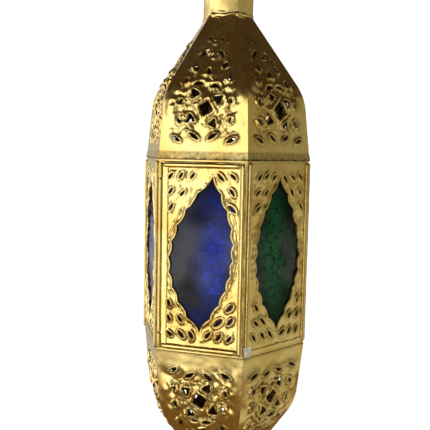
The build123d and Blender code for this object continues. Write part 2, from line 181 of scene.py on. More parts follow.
# Cards: azimuth, elevation, distance, width, height and colour. A place has all but the first and the last.
CARDS = {
    "ceiling_card": (0, 90, 1000, 4600, 4600, (0.056, 0.038, 0.024)),
    "floor_card": (0, -90, 365, 1100, 1100, (0.17, 0.1, 0.038)),
    "low_card": (104, -30, 1000, 1300, 860, (0.5, 0.48, 0.4)),
    "right_floor_card": (104, -62, 425, 900, 340, (0.54, 0.52, 0.43)),
}
# Tones of the room seen in the polish, from the front round to the right
ROOM_TONES = (
    (0.34, 0.31, 0.25),
    (0.20, 0.18, 0.13),
    (0.31, 0.29, 0.215),
    (0.42, 0.40, 0.34),
    (0.46, 0.47, 0.45),
    (0.50, 0.48, 0.42),
)
ROOM_PLACE = (0, 1900, 2250, 3000)
SOFTBOX_AZIMUTHS = (-20, 190, -100)
SOFTBOX_TONE = (1.68, 1.7, 1.7)
SOFTBOX_PLACE = (0, 1400, 1000, 1500)

# Grids of points on a pierced sheet: a fine one about the chasing and a coarse one elsewhere
FINE_STEP = 1.0
COARSE_STEP = 1.9
FINE_REACH = 3.5
OUTLINE_STEP = 1.6
GRID_ROW_SHARE = math.sqrt(0.75)
# Rings of points round each hole, and rails of points along each ridge in shares of its half width
RAIL_STEP = 0.9
RAIL_SHARES = (-1, -0.7, 0, 0.7, 1)
HOLE_STEP = 0.8
HOLE_RINGS = (0.4, 0.85, 1.35, 1.95)
RING_CLEAR_SHARE = 0.85
WELD_GAP = 1e-4
SHARP_ANGLE = math.radians(50)
# Ripples: how many cross, and the limits of their angle, phase and stretch
RIPPLES = 8
RIPPLE_LOW = (0, 0, 0.7)
RIPPLE_HIGH = (math.tau, math.tau, 1.4)

# Chasing: lips round the holes, painted shade at their edges and on the ground between the ridges
LIP_MARGIN = 4.0
LIP_PLACE = 0.7
LIP_WIDTH = 1.1
LIP_POWER = 4
TAPER_POWER = 4
GROUND_REACH = 2.5
GROUND_HEIGHTS = (0.1, 0.65)
EDGE_SHADE = 0.7
EDGE_SHADE_REACH = 0.5

# Section of a petal: a leaning skirt, a rounded shoulder and a straight roof
SKIRT_LEAN = math.radians(5.5)
SHOULDER_HEIGHT = 47.0
SHOULDER_RADIUS = 45.0
SHOULDER_REACH = APOTHEM - SHOULDER_HEIGHT * math.tan(SKIRT_LEAN)
ROOF_LEAN = math.atan((SHOULDER_REACH - NECK_APOTHEM) / (DOME_HEIGHT - SHOULDER_HEIGHT))
PETAL_SEAM = 0.06
PETAL_ROWS = 60
# Foot of an upper petal: a flared band below a crease
FOOT_BAND_HEIGHT = 6.5
# Painted shade on the band below the crease, and the height over which it fades
FOOT_BAND_SHADE = 0.5
FOOT_BAND_FADE = 1.0
FOOT_FLARE = 0.5
FLARE_START = -1.0
FOOT_CREASE_DEPTH = 0.2
FOOT_CREASE_WIDTH = 0.9
# Painted shade along the foot of each petal, where it meets the rim
SEAM_SHADE = 0.6
SEAM_SHADE_REACH = 0.8

# Punch marks of a petal. Errors are of place, turn and size. A hole is a length, a width and, if it is bowed,
# the bow. An arc is a centre, a radius, a start and a sweep. A ridge is a height and a width.
PETAL_ERRORS = (0.45, 6.0, 0.08)
CORNER_SHARE = 0.1
ROSETTE_HEIGHT = 34.6
ROSETTE_TURN = -11.0
ROSETTE_TURN_ERROR = 3.0
DIAMOND_RADIUS = 5.9
DIAMOND_STRETCH = (0.92, 1.0)
DIAMOND_CORNER_SHARE = 0.08
DIAMOND_LIP = 0.6
STRAP_GAP = 1.5
STRAP_OVERRUN = 4.2
STRAP_POINTS = 7
STRAP_RIDGE = (1.15, 1.6)
TRIANGLE_RADIUS = 4.1
TRIANGLE_SPREAD = 11.7
TRIANGLE_LIP = 1.0
BROW_ARC = ((-2.2, 0), 6.6, 52, -104)
BROW_RIDGE = (1.05, 1.2)
CROWN_TRIANGLES = ((4.0, 60.6), (1.9, 73.0))
CROWN_TURN = 90
CROWN_SQUARE = (10.0, 64.3)
SQUARE_RADIUS = 2.4
SQUARE_LIP = 0.95
DOTS = ((0.0, 83.4), (5.0, 84.6))
DOT_RADIUS = 0.9
DOT_CORNERS = 8
DOT_LIP = 0.85
# Pairs of leaves, eyes and bowed slits: their places (place, height, turn), hole, lip, arcs and ridge
LEAVES = (
    ((19.7, 13.8, 27), (7.0, 15.8, 30)),
    (7.8, 2.3),
    0.6,
    (((0, -5.6), 7.6, 128, -76),),
    (0.9, 0.95),
)
EYES = (
    ((18.4, 26.6, 70), (18.0, 39.6, 105), (15.4, 55.6, 80)),
    (4.4, 1.9),
    0.45,
    (((0, 0), 3.2, 15, 150), ((0, 0), 3.2, 195, 150)),
    (1.05, 1.25),
)
BOWS = (
    ((5.4, 50.4, -14), (6.4, 73.6, -42)),
    (7.4, 2.0, 1.0),
    0.5,
    (((0, -5.0), 8.2, 145, -110),),
    (1.4, 1.8),
)
# Short strokes struck anywhere between two corners (place, height) with any turn
STROKES = 20
STROKE_LOW = (-20.0, 20.0, 0.0)
STROKE_HIGH = (20.0, 58.0, 360.0)
STROKE_ARC = ((0, -2.4), 2.8, 135, -90, 5)
STROKE_RIDGE = (0.9, 1.0)
# How much bolder the chasing of the petals is than drawn, and how dark the ground among it is painted as
# shade
UPPER_BOLDNESS = 1.15
LOWER_BOLDNESS = 1.35
UPPER_GROUND_SHADE = 0.5
LOWER_GROUND_SHADE = 0.8
# Share by which the chasing gets lower from the shoulder up to a height above the foot
ROOF_CALM_SHARE = 0.28
ROOF_CALM_HEIGHT = 72.0
# Hammer waves (height, length), and spans from the side, the foot and the top over which they come in
PETAL_DENTS = ((0.4, 24),)
PETAL_DENT_SPANS = ((0.3, 6), (8, 20), (1, 8))
PETAL_GROUND = ((0.24, 7.0), (0.08, 3.4))
PETAL_GROUND_SPANS = ((2, 9), (8, 14), (14, 24))
PETAL_RELIEF_SPAN = (0.5, 4)
PETAL_END_SPAN = (0, 2)

# Pierced panels of the body
PANEL_SIDE_GAP = 0.9
PANEL_HALF_WIDTH = SIDE_WIDTH / 2 - PANEL_SIDE_GAP
PANEL_ERRORS = (0.5, 7.0, 0.12)
# Painted shade on the ground about the panel's punched holes
PANEL_GROUND_SHADE = 0.15
PANEL_DENTS = ((0.28, 20), (0.1, 6))
PANEL_DENT_SPAN = (0.3, 7)
WINDOW_HALF_WIDTH = 23.5
WINDOW_TOP = 57.0
WINDOW_BOTTOM = -52.5
# Lip of the window: height, distance from the edge and width
WINDOW_LIP = (0.6, 0.8, 1.3)
DOOR_WINDOW_LEAN = 8.0
SCALLOPS = 10
SCALLOP_DEPTH = 1.4
SCALLOP_POINTS = 8
# Groove beside the scallops, and nicks from their cusps
GROOVE_GAP = 3.4
GROOVE_RIDGE = (-0.35, 0.8)
NICK_SLOPE = 0.5
NICK_LENGTH = 2.3
NICK_START_SHARE = 0.15
NICK_POINTS = 4
NICK_RIDGE = (-0.35, 0.7)
SLIT_ROWS = 3
SLIT_OUTER = 22.4
SLIT_PITCH = 8.2
SLIT_ROW_PITCH = 11.0
SLIT_TURN = 50
SLIT_WINDOW_MARGIN = 5.0
# Slits below and above: height of the first row, hole, lip, arcs and ridge
LOWER_SLITS = (-55.0, (6.4, 1.9), 0.7, (((0, -4.4), 6.5, 132, -84), ((0, 4.4), 6.5, -132, 84)), (1.15, 1.25))
UPPER_SLITS = (57.2, (6.0, 1.7), 0.5, (((0, -4.4), 6.3, 132, -84),), (0.7, 1.1))

# Beads: round bars with softened ends, a little uneven along their length
BEAD_SIDE_GAP = 2.5
BEAD_PLACE = SIDE_WIDTH / 2 - BEAD_SIDE_GAP
BEAD_RADIUS = 1.6
BEAD_WOBBLE = 0.12
ROD_POINTS = 14
ROD_STEP = 5.0
ROD_END_SHARE = 0.25
ROD_END_SIZE_SHARES = (0.72, 0.92)
ROD_SWELL_SHARE = 0.3
ROD_SWAY_SHARE = 0.5
# Painted shade along the foot of a bead, and the shares of its height over which it fades
FOOT_SHADE = 0.75
FOOT_SHADE_SHARES = (0.25, 0.75)

# Bottom hem of a side panel
HEM_HEIGHT = 4.0
HEM_END_GAP = 0.4
HEM_POINTS = 40
HEM_WAVE = 13.0
HEM_UNEVEN_SHARE = 0.1
# Half section of the fold: share of the sheet's thickness out, share of the hem's height up
HEM_SECTION_SHARES = np.array([
    (-0.4, 0.0), (0.55, 0.0), (0.85, 0.06), (1.0, 0.2), (1.0, 0.5),
    (0.95, 0.78), (0.75, 0.93), (0.4, 1.0), (-0.4, 1.0),
])

# Figured glass panes
PANE_STEP = 1.05
PANE_EDGE_SPAN = (0, 2)
FIGURE_DEPTH = 0.2
FIGURE_UNEVEN = ((0.12, 8),)
FLOWER_PITCH = 21.0
FLOWER_PETALS = 6
FLOWER_RADIUS = 10.5
FLOWER_WAIST_SHARE = 0.45
FLOWER_LINE = 0.95
FLOWER_HEART = 2.0
FLOWER_SWAY = ((0.25, 30),)
# Where painted light shining through a pane is brightest, from its middle, and how it spreads; then the
# pane's own uneven tint
DOOR_BACKLIGHT_PLACE = 10.0
SIDE_BACKLIGHT_PLACE = -3.0
BACKLIGHT_WIDTH = 12.0
BACKLIGHT_HEIGHT = 36.0
BACKLIGHT_TINT = 1.1
LEAST_TINT = 0.02
TINT_UNEVEN = ((0.1, 26),)
# Shine of a pane about its middle height, and the share of it lost where the painted light through it is
# brightest
SHEEN_HEIGHT = 30.0
SHEEN_UNEVEN = ((0.25, 22),)
BACKLIGHT_SHEEN_LOSS_SHARE = 0.6

# Neck: six-sided tube with a crinkled fold at its foot
NECK_TWIST = 7.5
NECK_BOW = 0.22
NECK_SIDE_POINTS = 12
NECK_FOLD_PROUD = 0.5
NECK_FOLD_HEIGHT = 2.6
NECK_FOLD_DROP = 1.8
FOLD_TOP_SHARE = 1.6
FOLD_SWELL_SHARES = (0.1, 1.3)
FOLD_CRINKLE = ((0.22, 4.5),)
FOLD_BULGE = ((1, 3.2),)
FOLD_BULGE_SHARE = 0.25
FOLD_LEVELS = 16
TUBE_START = 8
TUBE_LEVELS = 7
# Waves (height, length, stretch round the neck, stretch up it), and where the dents come in
NECK_WRINKLES = (0.24, 5, 0.7, 2.2)
NECK_DENTS = (0.06, 14, 1.6, 1.0)
NECK_DENT_SPAN = (4, 9)

# Door frame: flat border, beads on three sides and the hinge barrel on the fourth
DOOR_BORDER = 4.0
DOOR_BORDER_THICKNESS = 0.5
BORDER_SPAN = (-0.6, 0.7)
BORDER_DENTS = ((0.06, 9),)
BORDER_DENT_SPAN = (0, 1)
# Painted shade on the border beside the beads
BORDER_SHADE = 0.45
BORDER_SHADE_REACH = 0.5
DOOR_BEAD_RADIUS = 1.8
BOTTOM_BEAD_RADIUS = 2.0
BEAD_SINK = 0.2
BARREL_RADIUS = 1.4
BARREL_BORE = 0.68
BARREL_END = 11.5
BARREL_WOBBLE = 0.05

# Plain metal pieces: how far their edges are rounded, and what counts as an edge
SOFT_BEVELS = {
    "hanging_ring": 0.5,
    "eye_bolt": 0.4,
    "eye_nut": 0.3,
    "finial": 0.35,
    "finial_nut": 0.3,
    "roof_cap": 0.3,
    "bottom_cap": 0.3,
    "bottom_collar": 0.2,
    "upper_rim": 0.3,
    "lower_rim": 0.3,
    "hinge_knuckles": 0.15,
    "hinge_pin": 0.15,
    "candle_bar": 0.3,
    "drip_pan": 0.2,
    "candle_cup": 0.2,
    "glass_clips": 0.1,
    "door_clips": 0.1,
    "door_catch": 0.1,
}
CORNER_POST_BEVEL = 0.2
for post in range(SIDES):
    SOFT_BEVELS[f"corner_post_{post + 1}"] = CORNER_POST_BEVEL
SOFT_WELD_GAP = 0.002
FLAT_ANGLE = math.radians(1)
BEVEL_ANGLE = math.radians(35)
SOFT_SHARP_ANGLE = math.radians(40)

# Seeds of the hand work. A piece that repeats adds the number of its side.
UPPER_SEED = 11
LOWER_SEED = 31
SOLDER_SEED = 47
NECK_SEED = 48
FRAME_SEED = 49
DOOR_SEED = 50
PANEL_SEED = 51
DOOR_PANE_SEED = 70
PANE_SEED = 71


def add_object(name, data):
    piece = bpy.data.objects.new(name, data)
    bpy.context.scene.collection.objects.link(piece)
    return piece


def make_camera():
    data = bpy.data.cameras.new("photo_camera")
    data.lens = CAMERA_LENS
    data.sensor_width = CAMERA_SENSOR
    data.clip_start = MM
    camera = add_object("photo_camera", data)
    sideways = CAMERA_DISTANCE * math.sin(CAMERA_AZIMUTH)
    back = CAMERA_DISTANCE * math.cos(CAMERA_AZIMUTH)
    place = Vector((sideways, -back, BODY_TOP + CAMERA_RISE))
    turn = Matrix.Rotation(CAMERA_HEADING, 4, "Z") @ Matrix.Rotation(math.pi / 2 + CAMERA_PITCH, 4, "X")
    turn = turn @ Matrix.Rotation(CAMERA_ROLL, 4, "Z")
    camera.matrix_world = Matrix.Translation(place * MM) @ turn
    bpy.context.scene.camera = camera


# Node materials
def new_material(name):
    material = bpy.data.materials.new(name)
    material.use_nodes = True
    return material, material.node_tree


def add_node(tree, kind, **values):
    node = tree.nodes.new(kind)
    for name, value in values.items():
        setattr(node, name, value)
    return node


def set_inputs(node, values):
    for name, value in values.items():
        node.inputs[name].default_value = value


def feed(tree, source, *sockets):
    """Links a source to sockets of the material's shader."""
    for socket in sockets:
        tree.links.new(source, tree.nodes["Principled BSDF"].inputs[socket])


def add_attribute(tree, name):
    return add_node(tree, "ShaderNodeAttribute", attribute_name=name).outputs["Fac"]


def add_noise(tree, size, detail=4.0, roughness=0.55, stretch=(1, 1, 1)):
    """Noise with lumps of about the given size."""
    place = add_node(tree, "ShaderNodeTexCoord")
    mapping = add_node(tree, "ShaderNodeMapping")
    set_inputs(mapping, {"Scale": stretch})
    tree.links.new(place.outputs["Object"], mapping.inputs["Vector"])
    noise = add_node(tree, "ShaderNodeTexNoise")
    set_inputs(noise, {"Scale": 1 / (size * MM), "Detail": detail, "Roughness": roughness})
    tree.links.new(mapping.outputs["Vector"], noise.inputs["Vector"])
    return noise.outputs["Fac"]


def add_ramp(tree, source, span, result):
    """Value that goes through the result while the source goes through the span."""
    ramp = add_node(tree, "ShaderNodeMapRange", clamp=True)
    set_inputs(ramp, {"From Min": span[0], "From Max": span[1], "To Min": result[0], "To Max": result[1]})
    tree.links.new(source, ramp.inputs["Value"])
    return ramp.outputs["Result"]


def add_mix(tree, share, first, second):
    """Colour between two colours, each a socket or a constant."""
    mix = add_node(tree, "ShaderNodeMix", data_type="RGBA")
    tree.links.new(share, mix.inputs["Factor"])
    for name, value in (("A", first), ("B", second)):
        socket = [entry for entry in mix.inputs if entry.name == name and entry.type == "RGBA"][0]
        if isinstance(value, tuple):
            socket.default_value = (*value, 1)
        else:
            tree.links.new(value, socket)
    return [entry for entry in mix.outputs if entry.type == "RGBA"][0]


def add_math(tree, operation, first, second):
    node = add_node(tree, "ShaderNodeMath", operation=operation)
    for socket, value in zip(node.inputs, (first, second)):
        if isinstance(value, (int, float)):
            socket.default_value = value
        else:
            tree.links.new(value, socket)
    return node.outputs["Value"]


def add_layer(tree, layer, result=(0.0, 1.0), **noise):
    size, span = layer
    return add_ramp(tree, add_noise(tree, size, **noise), span, result)


def add_dents(tree, dents, normal=None, **noise):
    """Normal of a surface with uneven dents."""
    size, depth = dents
    bump = add_node(tree, "ShaderNodeBump")
    set_inputs(bump, {"Distance": depth * MM})
    tree.links.new(add_noise(tree, size, **noise), bump.inputs["Height"])
    if normal is not None:
        tree.links.new(normal, bump.inputs["Normal"])
    return bump.outputs["Normal"]


def brass_material(name, polish, tarnish):
    """Hand-polished brass: warm patches, tarnish stains, painted shade in hollows, along joints and on the
    inside, small dents and fine scratches.
    """
    material, tree = new_material(name)
    set_inputs(tree.nodes["Principled BSDF"], {"Metallic": 1.0})
    colour = add_mix(tree, add_layer(tree, PATCHES), BRASS_BRIGHT, BRASS_DEEP)
    stains = add_layer(tree, STAINS, (0, tarnish), detail=7, roughness=STAIN_ROUGHNESS)
    colour = add_mix(tree, stains, colour, BRASS_TARNISH)
    broken = add_layer(tree, SHADE_BREAKUP, SHADE_SHARES, detail=5)
    # Painted shade, stored at each point and broken up by noise, darkens the colour and dulls the polish
    shade = add_math(tree, "MULTIPLY", add_attribute(tree, "recess"), broken)
    feed(tree, add_mix(tree, shade, colour, BRASS_SHADE), "Base Color")
    dullness = add_math(tree, "MULTIPLY", shade, SHADE_DULLNESS)
    feed(tree, add_math(tree, "ADD", add_layer(tree, CLOUDS, polish, detail=6), dullness), "Roughness")
    dents = add_dents(tree, DENTS, detail=1)
    feed(tree, add_dents(tree, SCRATCHES, dents, detail=3, stretch=SCRATCH_STRETCH), "Normal")
    return material


def glass_material(name, deep, bright, ground, lines):
    """Figured coloured glass: ground and lines of the figure differ, colour is uneven and carries painted
    light shining through, and shine is uneven.
    """
    material, tree = new_material(name)
    set_inputs(tree.nodes["Principled BSDF"], GLASS_VALUES)
    tone = add_ramp(tree, add_attribute(tree, "figure"), FIGURE_SPAN, (ground, lines))
    paler = add_math(tree, "MULTIPLY", tone, add_attribute(tree, "tint_and_backlight"))
    feed(tree, add_mix(tree, paler, deep, bright), "Base Color")
    feed(tree, add_attribute(tree, "sheen"), "Coat Weight")
    feed(tree, add_layer(tree, GLASS_CLOUDS, GLASS_POLISH), "Roughness")
    waves = add_dents(tree, GLASS_WAVES, detail=1)
    feed(tree, add_dents(tree, GLASS_PIMPLES, waves, detail=2), "Normal", "Coat Normal")
    return material


def solder_material():
    """Dull tin solder."""
    material, tree = new_material("tin_solder")
    set_inputs(tree.nodes["Principled BSDF"], {"Metallic": SOLDER_METALLIC})
    feed(tree, add_mix(tree, add_layer(tree, SOLDER_STAINS), SOLDER_BRIGHT, SOLDER_DULL), "Base Color")
    feed(tree, add_layer(tree, SOLDER_CLOUDS, SOLDER_POLISH), "Roughness")
    feed(tree, add_dents(tree, SOLDER_DENTS), "Normal")
    return material


brass = brass_material("sheet_brass", *SHEET_FINISH)
fitting_brass = brass_material("fitting_brass", *FITTING_FINISH)
GLASSES = {
    "glass_blue": glass_material("blue_glass", *BLUE_TONES),
    "glass_green": glass_material("green_glass", *GREEN_TONES),
}
solder = solder_material()


def make_floor():
    bpy.ops.mesh.primitive_circle_add(vertices=FLOOR_CORNERS, radius=FLOOR_RADIUS * MM, fill_type="NGON")
    floor = bpy.context.object
    floor.name = "floor"
    floor.location.z = cad_box[0][Z] - FLOOR_DROP * MM
    material, tree = new_material("pale_floor")
    set_inputs(tree.nodes["Principled BSDF"], FLOOR_VALUES)
    floor.data.materials.append(material)


def make_card(name, azimuth, elevation, distance, width, height, colour):
    """Studio card that only polish sees. Azimuth 0 is in front of the door, positive to the right."""
    across = math.radians(azimuth)
    rise = math.radians(elevation)
    toward = Vector((
        math.sin(across) * math.cos(rise),
        -math.cos(across) * math.cos(rise),
        math.sin(rise),
    ))
    bpy.ops.mesh.primitive_plane_add(size=1)
    card = bpy.context.object
    card.name = name
    card.scale = (width * MM, height * MM, 1)
    card.rotation_mode = "QUATERNION"
    card.rotation_quaternion = toward.to_track_quat("Z", "Y")
    card.location = (toward * distance + Vector((0, 0, BODY_MIDDLE))) * MM
    material, tree = new_material(name)
    tree.nodes.clear()
    glow = add_node(tree, "ShaderNodeEmission")
    set_inputs(glow, {"Color": (*colour, 1)})
    output = add_node(tree, "ShaderNodeOutputMaterial")
    tree.links.new(glow.outputs["Emission"], output.inputs["Surface"])
    card.data.materials.append(material)
    for ray in ("camera", "diffuse", "transmission", "shadow"):
        setattr(card, f"visible_{ray}", False)


def make_studio():
    world = bpy.data.worlds.new("studio")
    world.use_nodes = True
    set_inputs(world.node_tree.nodes["Background"], WORLD_VALUES)
    bpy.context.scene.world = world
    bpy.context.scene.view_settings.view_transform = "Standard"
    make_floor()
    for name, card in CARDS.items():
        make_card(name, *card)
    for step, tone in enumerate(ROOM_TONES):
        make_card(f"room_card_{step + 1}", FACE_TURN * step, *ROOM_PLACE, tone)
    for step, azimuth in enumerate(SOFTBOX_AZIMUTHS):
        make_card(f"softbox_card_{step + 1}", azimuth, *SOFTBOX_PLACE, SOFTBOX_TONE)


# Points and loops on a flat sheet
def turned_points(points, angle, centre=(0, 0)):
    turn = math.radians(angle)
    wheel = np.array([[math.cos(turn), math.sin(turn)], [-math.sin(turn), math.cos(turn)]])
    return points @ wheel + np.array(centre)


def turned_to_side(points, step):
    """Points of the front side turned about the axis to another side."""
    return np.column_stack((turned_points(points[:, :Z], FACE_TURN * step), points[:, Z]))


def leaf_loop(length, width, bow=0.0, count=9):
    """Pointed oval, with its middle pushed up by the bow."""
    along = np.linspace(-1, 1, count)
    swell = 1 - along**2
    upper = np.column_stack((along * length / 2, swell * (bow + width / 2)))
    lower = np.column_stack((along * length / 2, swell * (bow - width / 2)))
    return np.vstack((upper[::-1], lower[1:-1]))


def polygon_loop(radius, corners, start=0, stretch=(1, 1)):
    angles = np.radians(start + np.arange(corners) * 360 / corners)
    return np.column_stack((np.cos(angles), np.sin(angles))) * radius * np.array(stretch)


def softened_loop(loop, share=CORNER_SHARE):
    """Loop with its corners cut a little, as a worn punch leaves them."""
    ahead = np.roll(loop, -1, axis=0)
    cut = (loop * (1 - share) + ahead * share, loop * share + ahead * (1 - share))
    return np.stack(cut, axis=1).reshape(-1, 2)


def rectangle_loop(left, right, bottom, top):
    return np.array([(left, bottom), (right, bottom), (right, top), (left, top)], dtype=float)


def divided_loop(loop, step):
    """Loop with its long edges divided."""
    points = []
    for start, end in zip(loop, np.roll(loop, -1, axis=0)):
        count = max(1, int(math.ceil(np.linalg.norm(end - start) / step)))
        shares = np.arange(count)[:, None] / count
        points.append(start + shares * (end - start))
    return np.vstack(points)


def arc_line(centre, radius, start, sweep, count=9):
    angles = np.radians(np.linspace(start, start + sweep, count))
    return np.array(centre) + radius * np.column_stack((np.cos(angles), np.sin(angles)))


def segment_gaps(points, starts, ends):
    """Distance of each point from each segment, and the share along the segment."""
    along = ends - starts
    offset = points[:, None] - starts[None]
    shares = np.clip((offset * along).sum(2) / np.maximum((along**2).sum(1), TINY), 0, 1)
    return np.linalg.norm(offset - shares[..., None] * along, axis=2), shares


def inside_loop(points, loop):
    ahead = np.roll(loop, -1, axis=0)
    level = points[:, None, 1]
    crosses = (loop[None, :, 1] > level) != (ahead[None, :, 1] > level)
    rise = np.where(ahead[:, 1] == loop[:, 1], 1, ahead[:, 1] - loop[:, 1])
    meets = loop[:, 0] + (level - loop[:, 1]) * (ahead[:, 0] - loop[:, 0]) / rise
    return (crosses & (points[:, None, 0] < meets)).sum(1) % 2 == 1


def edge_gap(points, loop):
    """Distance of each point from a loop, negative inside it."""
    gaps = segment_gaps(points, loop, np.roll(loop, -1, axis=0))[0]
    return np.where(inside_loop(points, loop), -1, 1) * gaps.min(1)


def line_gap(points, line):
    return segment_gaps(points, line[:-1], line[1:])[0].min(1)


def near_box(points, loop, margin):
    low = loop.min(0) - margin
    high = loop.max(0) + margin
    return ((points > low) & (points < high)).all(1)


def nearest_gap(points, marks, gap, margin):
    """Distance of each point from the nearest mark, up to the margin. A mark starts with its line or loop."""
    nearest = np.full(len(points), margin)
    for line, *_ in marks:
        near = near_box(points, line, margin)
        nearest[near] = np.minimum(nearest[near], gap(points[near], line))
    return nearest


def ripple(points, wavelength, random):
    """Smooth waves of about one, from a few crossing ripples."""
    total = np.zeros(len(points))
    for angle, phase, stretch in random.uniform(RIPPLE_LOW, RIPPLE_HIGH, (RIPPLES, 3)):
        toward = np.array((math.cos(angle), math.sin(angle))) * math.tau / (wavelength * stretch)
        total += np.cos(points @ toward + phase)
    return total / math.sqrt(RIPPLES / 2)


def ripples(points, waves, random):
    """Sum of waves, each with a height and a length."""
    return sum(height * ripple(points, length, random) for height, length in waves)


def smooth_step(values, low, high):
    share = np.clip((values - low) / (high - low), 0, 1)
    return share * share * (3 - 2 * share)


def fade(distances, spans):
    """Share that comes in over the span of each distance."""
    return math.prod(smooth_step(values, *span) for values, span in zip(distances, spans))


def bell(values):
    return np.exp(-(values**2))


def half_round(distances, width):
    """Section of a raised line: one on its crown and zero from the given distance on."""
    return np.clip(1 - (distances / width) ** 2, 0, 1)


def hexagonal_grid(low, high, step):
    columns = np.arange(low[0], high[0], step)
    rows = np.arange(low[1], high[1], step * GRID_ROW_SHARE)
    grid = np.stack(np.meshgrid(columns, rows), axis=2)
    grid[1::2, :, 0] += step / 2
    return grid.reshape(-1, 2)


def rails(line, width):
    """Points on the crown, the flanks and the feet of a ridge."""
    ahead = np.gradient(line, axis=0)
    aside = np.column_stack((-ahead[:, 1], ahead[:, 0])) / np.linalg.norm(ahead, axis=1)[:, None]
    count = max(2, int(np.linalg.norm(np.diff(line, axis=0), axis=1).sum() / RAIL_STEP))
    places = np.linspace(0, len(line) - 1, count)
    steps = np.arange(len(line))
    spots = []
    for share in RAIL_SHARES:
        rail = line + aside * share * width
        spots.append(np.column_stack([np.interp(places, steps, rail[:, axis]) for axis in (0, 1)]))
    return np.vstack(spots)


def outward_ways(loop):
    """Direction away from the inside of a loop at each of its points."""
    ahead = np.roll(loop, -1, axis=0) - np.roll(loop, 1, axis=0)
    outward = np.column_stack((ahead[:, 1], -ahead[:, 0]))
    outward /= np.maximum(np.linalg.norm(outward, axis=1), TINY)[:, None]
    if inside_loop((loop + outward * HOLE_RINGS[0] / 4)[:1], loop)[0]:
        outward = -outward
    return outward


class Pattern:
    """Holes and chased ridges of one sheet. Each blow of the punch lands a little off its mark."""

    def __init__(self, random, errors, ground_shade):
        self.random = random
        self.errors = errors
        self.ground_shade = ground_shade
        self.holes = []
        self.ridges = []

    def strike(self, centre, turn):
        """Where a blow really lands: its place, turn and size."""
        place_error, turn_error, size_error = self.errors
        shift = self.random.normal(0, 1, 4)
        struck = (centre[0] + shift[0] * place_error, centre[1] + shift[1] * place_error)
        return struck, turn + shift[2] * turn_error, 1 + shift[3] * size_error

    def cut(self, loop, lip, lip_place=LIP_PLACE, lip_width=LIP_WIDTH, punched=False):
        """Hole with a raised lip."""
        self.holes.append((loop, lip, lip_place, lip_width, punched))

    def pierce(self, loop, centre, turn, lip, ridges=()):
        """Hole struck by a punch, and ridges (line, height, width) that go with it."""
        struck, turn, size = self.strike(centre, turn)
        self.cut(turned_points(loop * size, turn, struck), lip, punched=True)
        for line, height, width in ridges:
            self.ridges.append((turned_points(line * size, turn, struck), height, width))

    def pierce_leaf(self, centre, turn, hole, lip, arcs, ridge):
        """Leaf-shaped hole with curved ridges beside it."""
        self.pierce(leaf_loop(*hole), centre, turn, lip, [(arc_line(*arc), *ridge) for arc in arcs])

    def hole_gap(self, points, margin):
        return nearest_gap(points, self.holes, edge_gap, margin)

    def relief(self, points):
        """Height of the chasing at each point, and how dark the painted shade is there."""
        lips = np.zeros(len(points))
        nearest = np.full(len(points), LIP_MARGIN)
        struck = np.full(len(points), LIP_MARGIN)
        for loop, lip, lip_place, lip_width, punched in self.holes:
            near = near_box(points, loop, LIP_MARGIN)
            gaps = edge_gap(points[near], loop)
            nearest[near] = np.minimum(nearest[near], gaps)
            if punched:
                struck[near] = np.minimum(struck[near], gaps)
            lips[near] += (lip * half_round(gaps - lip_place, lip_width)) ** LIP_POWER
        height = lips ** (1 / LIP_POWER)
        for line, ridge_height, width in self.ridges:
            near = near_box(points, line, width)
            gaps, shares = segment_gaps(points[near], line[:-1], line[1:])
            closest = gaps.argmin(1)
            rows = np.arange(len(closest))
            along = (closest + shares[rows, closest]) / (len(line) - 1)
            taper = 1 - (2 * along - 1) ** TAPER_POWER
            bump = ridge_height * taper * half_round(gaps[rows, closest], width)
            height[near] = np.where(bump < 0, height[near] + bump, np.maximum(height[near], bump))
        # Painted shade on the low ground among punched holes and at the edges of all holes
        ground = smooth_step(LIP_MARGIN - struck, 0, GROUND_REACH)
        ground *= 1 - smooth_step(height, *GROUND_HEIGHTS)
        edge_shade = EDGE_SHADE * np.exp(-np.clip(nearest, 0, None) / EDGE_SHADE_REACH)
        return height, edge_shade + self.ground_shade * ground

    def grid_spots(self, outline):
        """Points of the fine and the coarse grid that keep clear of holes and ridges."""
        spread = []
        for step, fine in ((FINE_STEP, True), (COARSE_STEP, False)):
            grid = hexagonal_grid(outline.min(0), outline.max(0), step)
            grid = grid[-edge_gap(grid, outline) > FINE_STEP / 2]
            hole_gaps = self.hole_gap(grid, 2 * FINE_REACH)
            ridge_gaps = nearest_gap(grid, self.ridges, line_gap, 2 * FINE_REACH)
            detailed = np.minimum(hole_gaps, ridge_gaps) < FINE_REACH
            clear = (hole_gaps > HOLE_RINGS[-1] + FINE_STEP / 3) & (ridge_gaps > FINE_STEP)
            spread.append(grid[clear & (detailed == fine)])
        return spread

    def rail_spots(self, outline):
        """Points along the ridges that keep clear of the holes."""
        spread = []
        for line, _, width in self.ridges:
            spots = rails(line, width)
            clear = self.hole_gap(spots, 2 * HOLE_RINGS[-1]) > HOLE_RINGS[-1]
            clear &= -edge_gap(spots, outline) > FINE_STEP / 2
            spread.append(spots[clear])
        return spread

    def ring_spots(self, outline, loops):
        """Points in rings round each hole that keep clear of the other holes."""
        spread = []
        for index, loop in enumerate(loops):
            outward = outward_ways(loop)
            for ring in HOLE_RINGS:
                spots = loop + outward * ring
                clear = edge_gap(spots, loop) > RING_CLEAR_SHARE * ring
                clear &= -edge_gap(spots, outline) > HOLE_RINGS[0]
                for other, rival in enumerate(loops):
                    near = near_box(spots, rival, ring) & clear
                    if other != index and near.any():
                        clear[near] = edge_gap(spots[near], rival) > ring
                spread.append(spots[clear])
        return spread

    def points(self, outline):
        """Points for the sheet's triangles, the edges that they keep, and the loops of outline and holes."""
        loops = [divided_loop(outline, OUTLINE_STEP)]
        loops += [divided_loop(hole[0], HOLE_STEP) for hole in self.holes]
        spread = self.grid_spots(outline) + self.rail_spots(outline) + self.ring_spots(outline, loops[1:])
        edges = []
        first = 0
        for loop in loops:
            count = len(loop)
            edges += [(first + index, first + (index + 1) % count) for index in range(count)]
            first += count
        return np.vstack(loops + spread), edges, loops


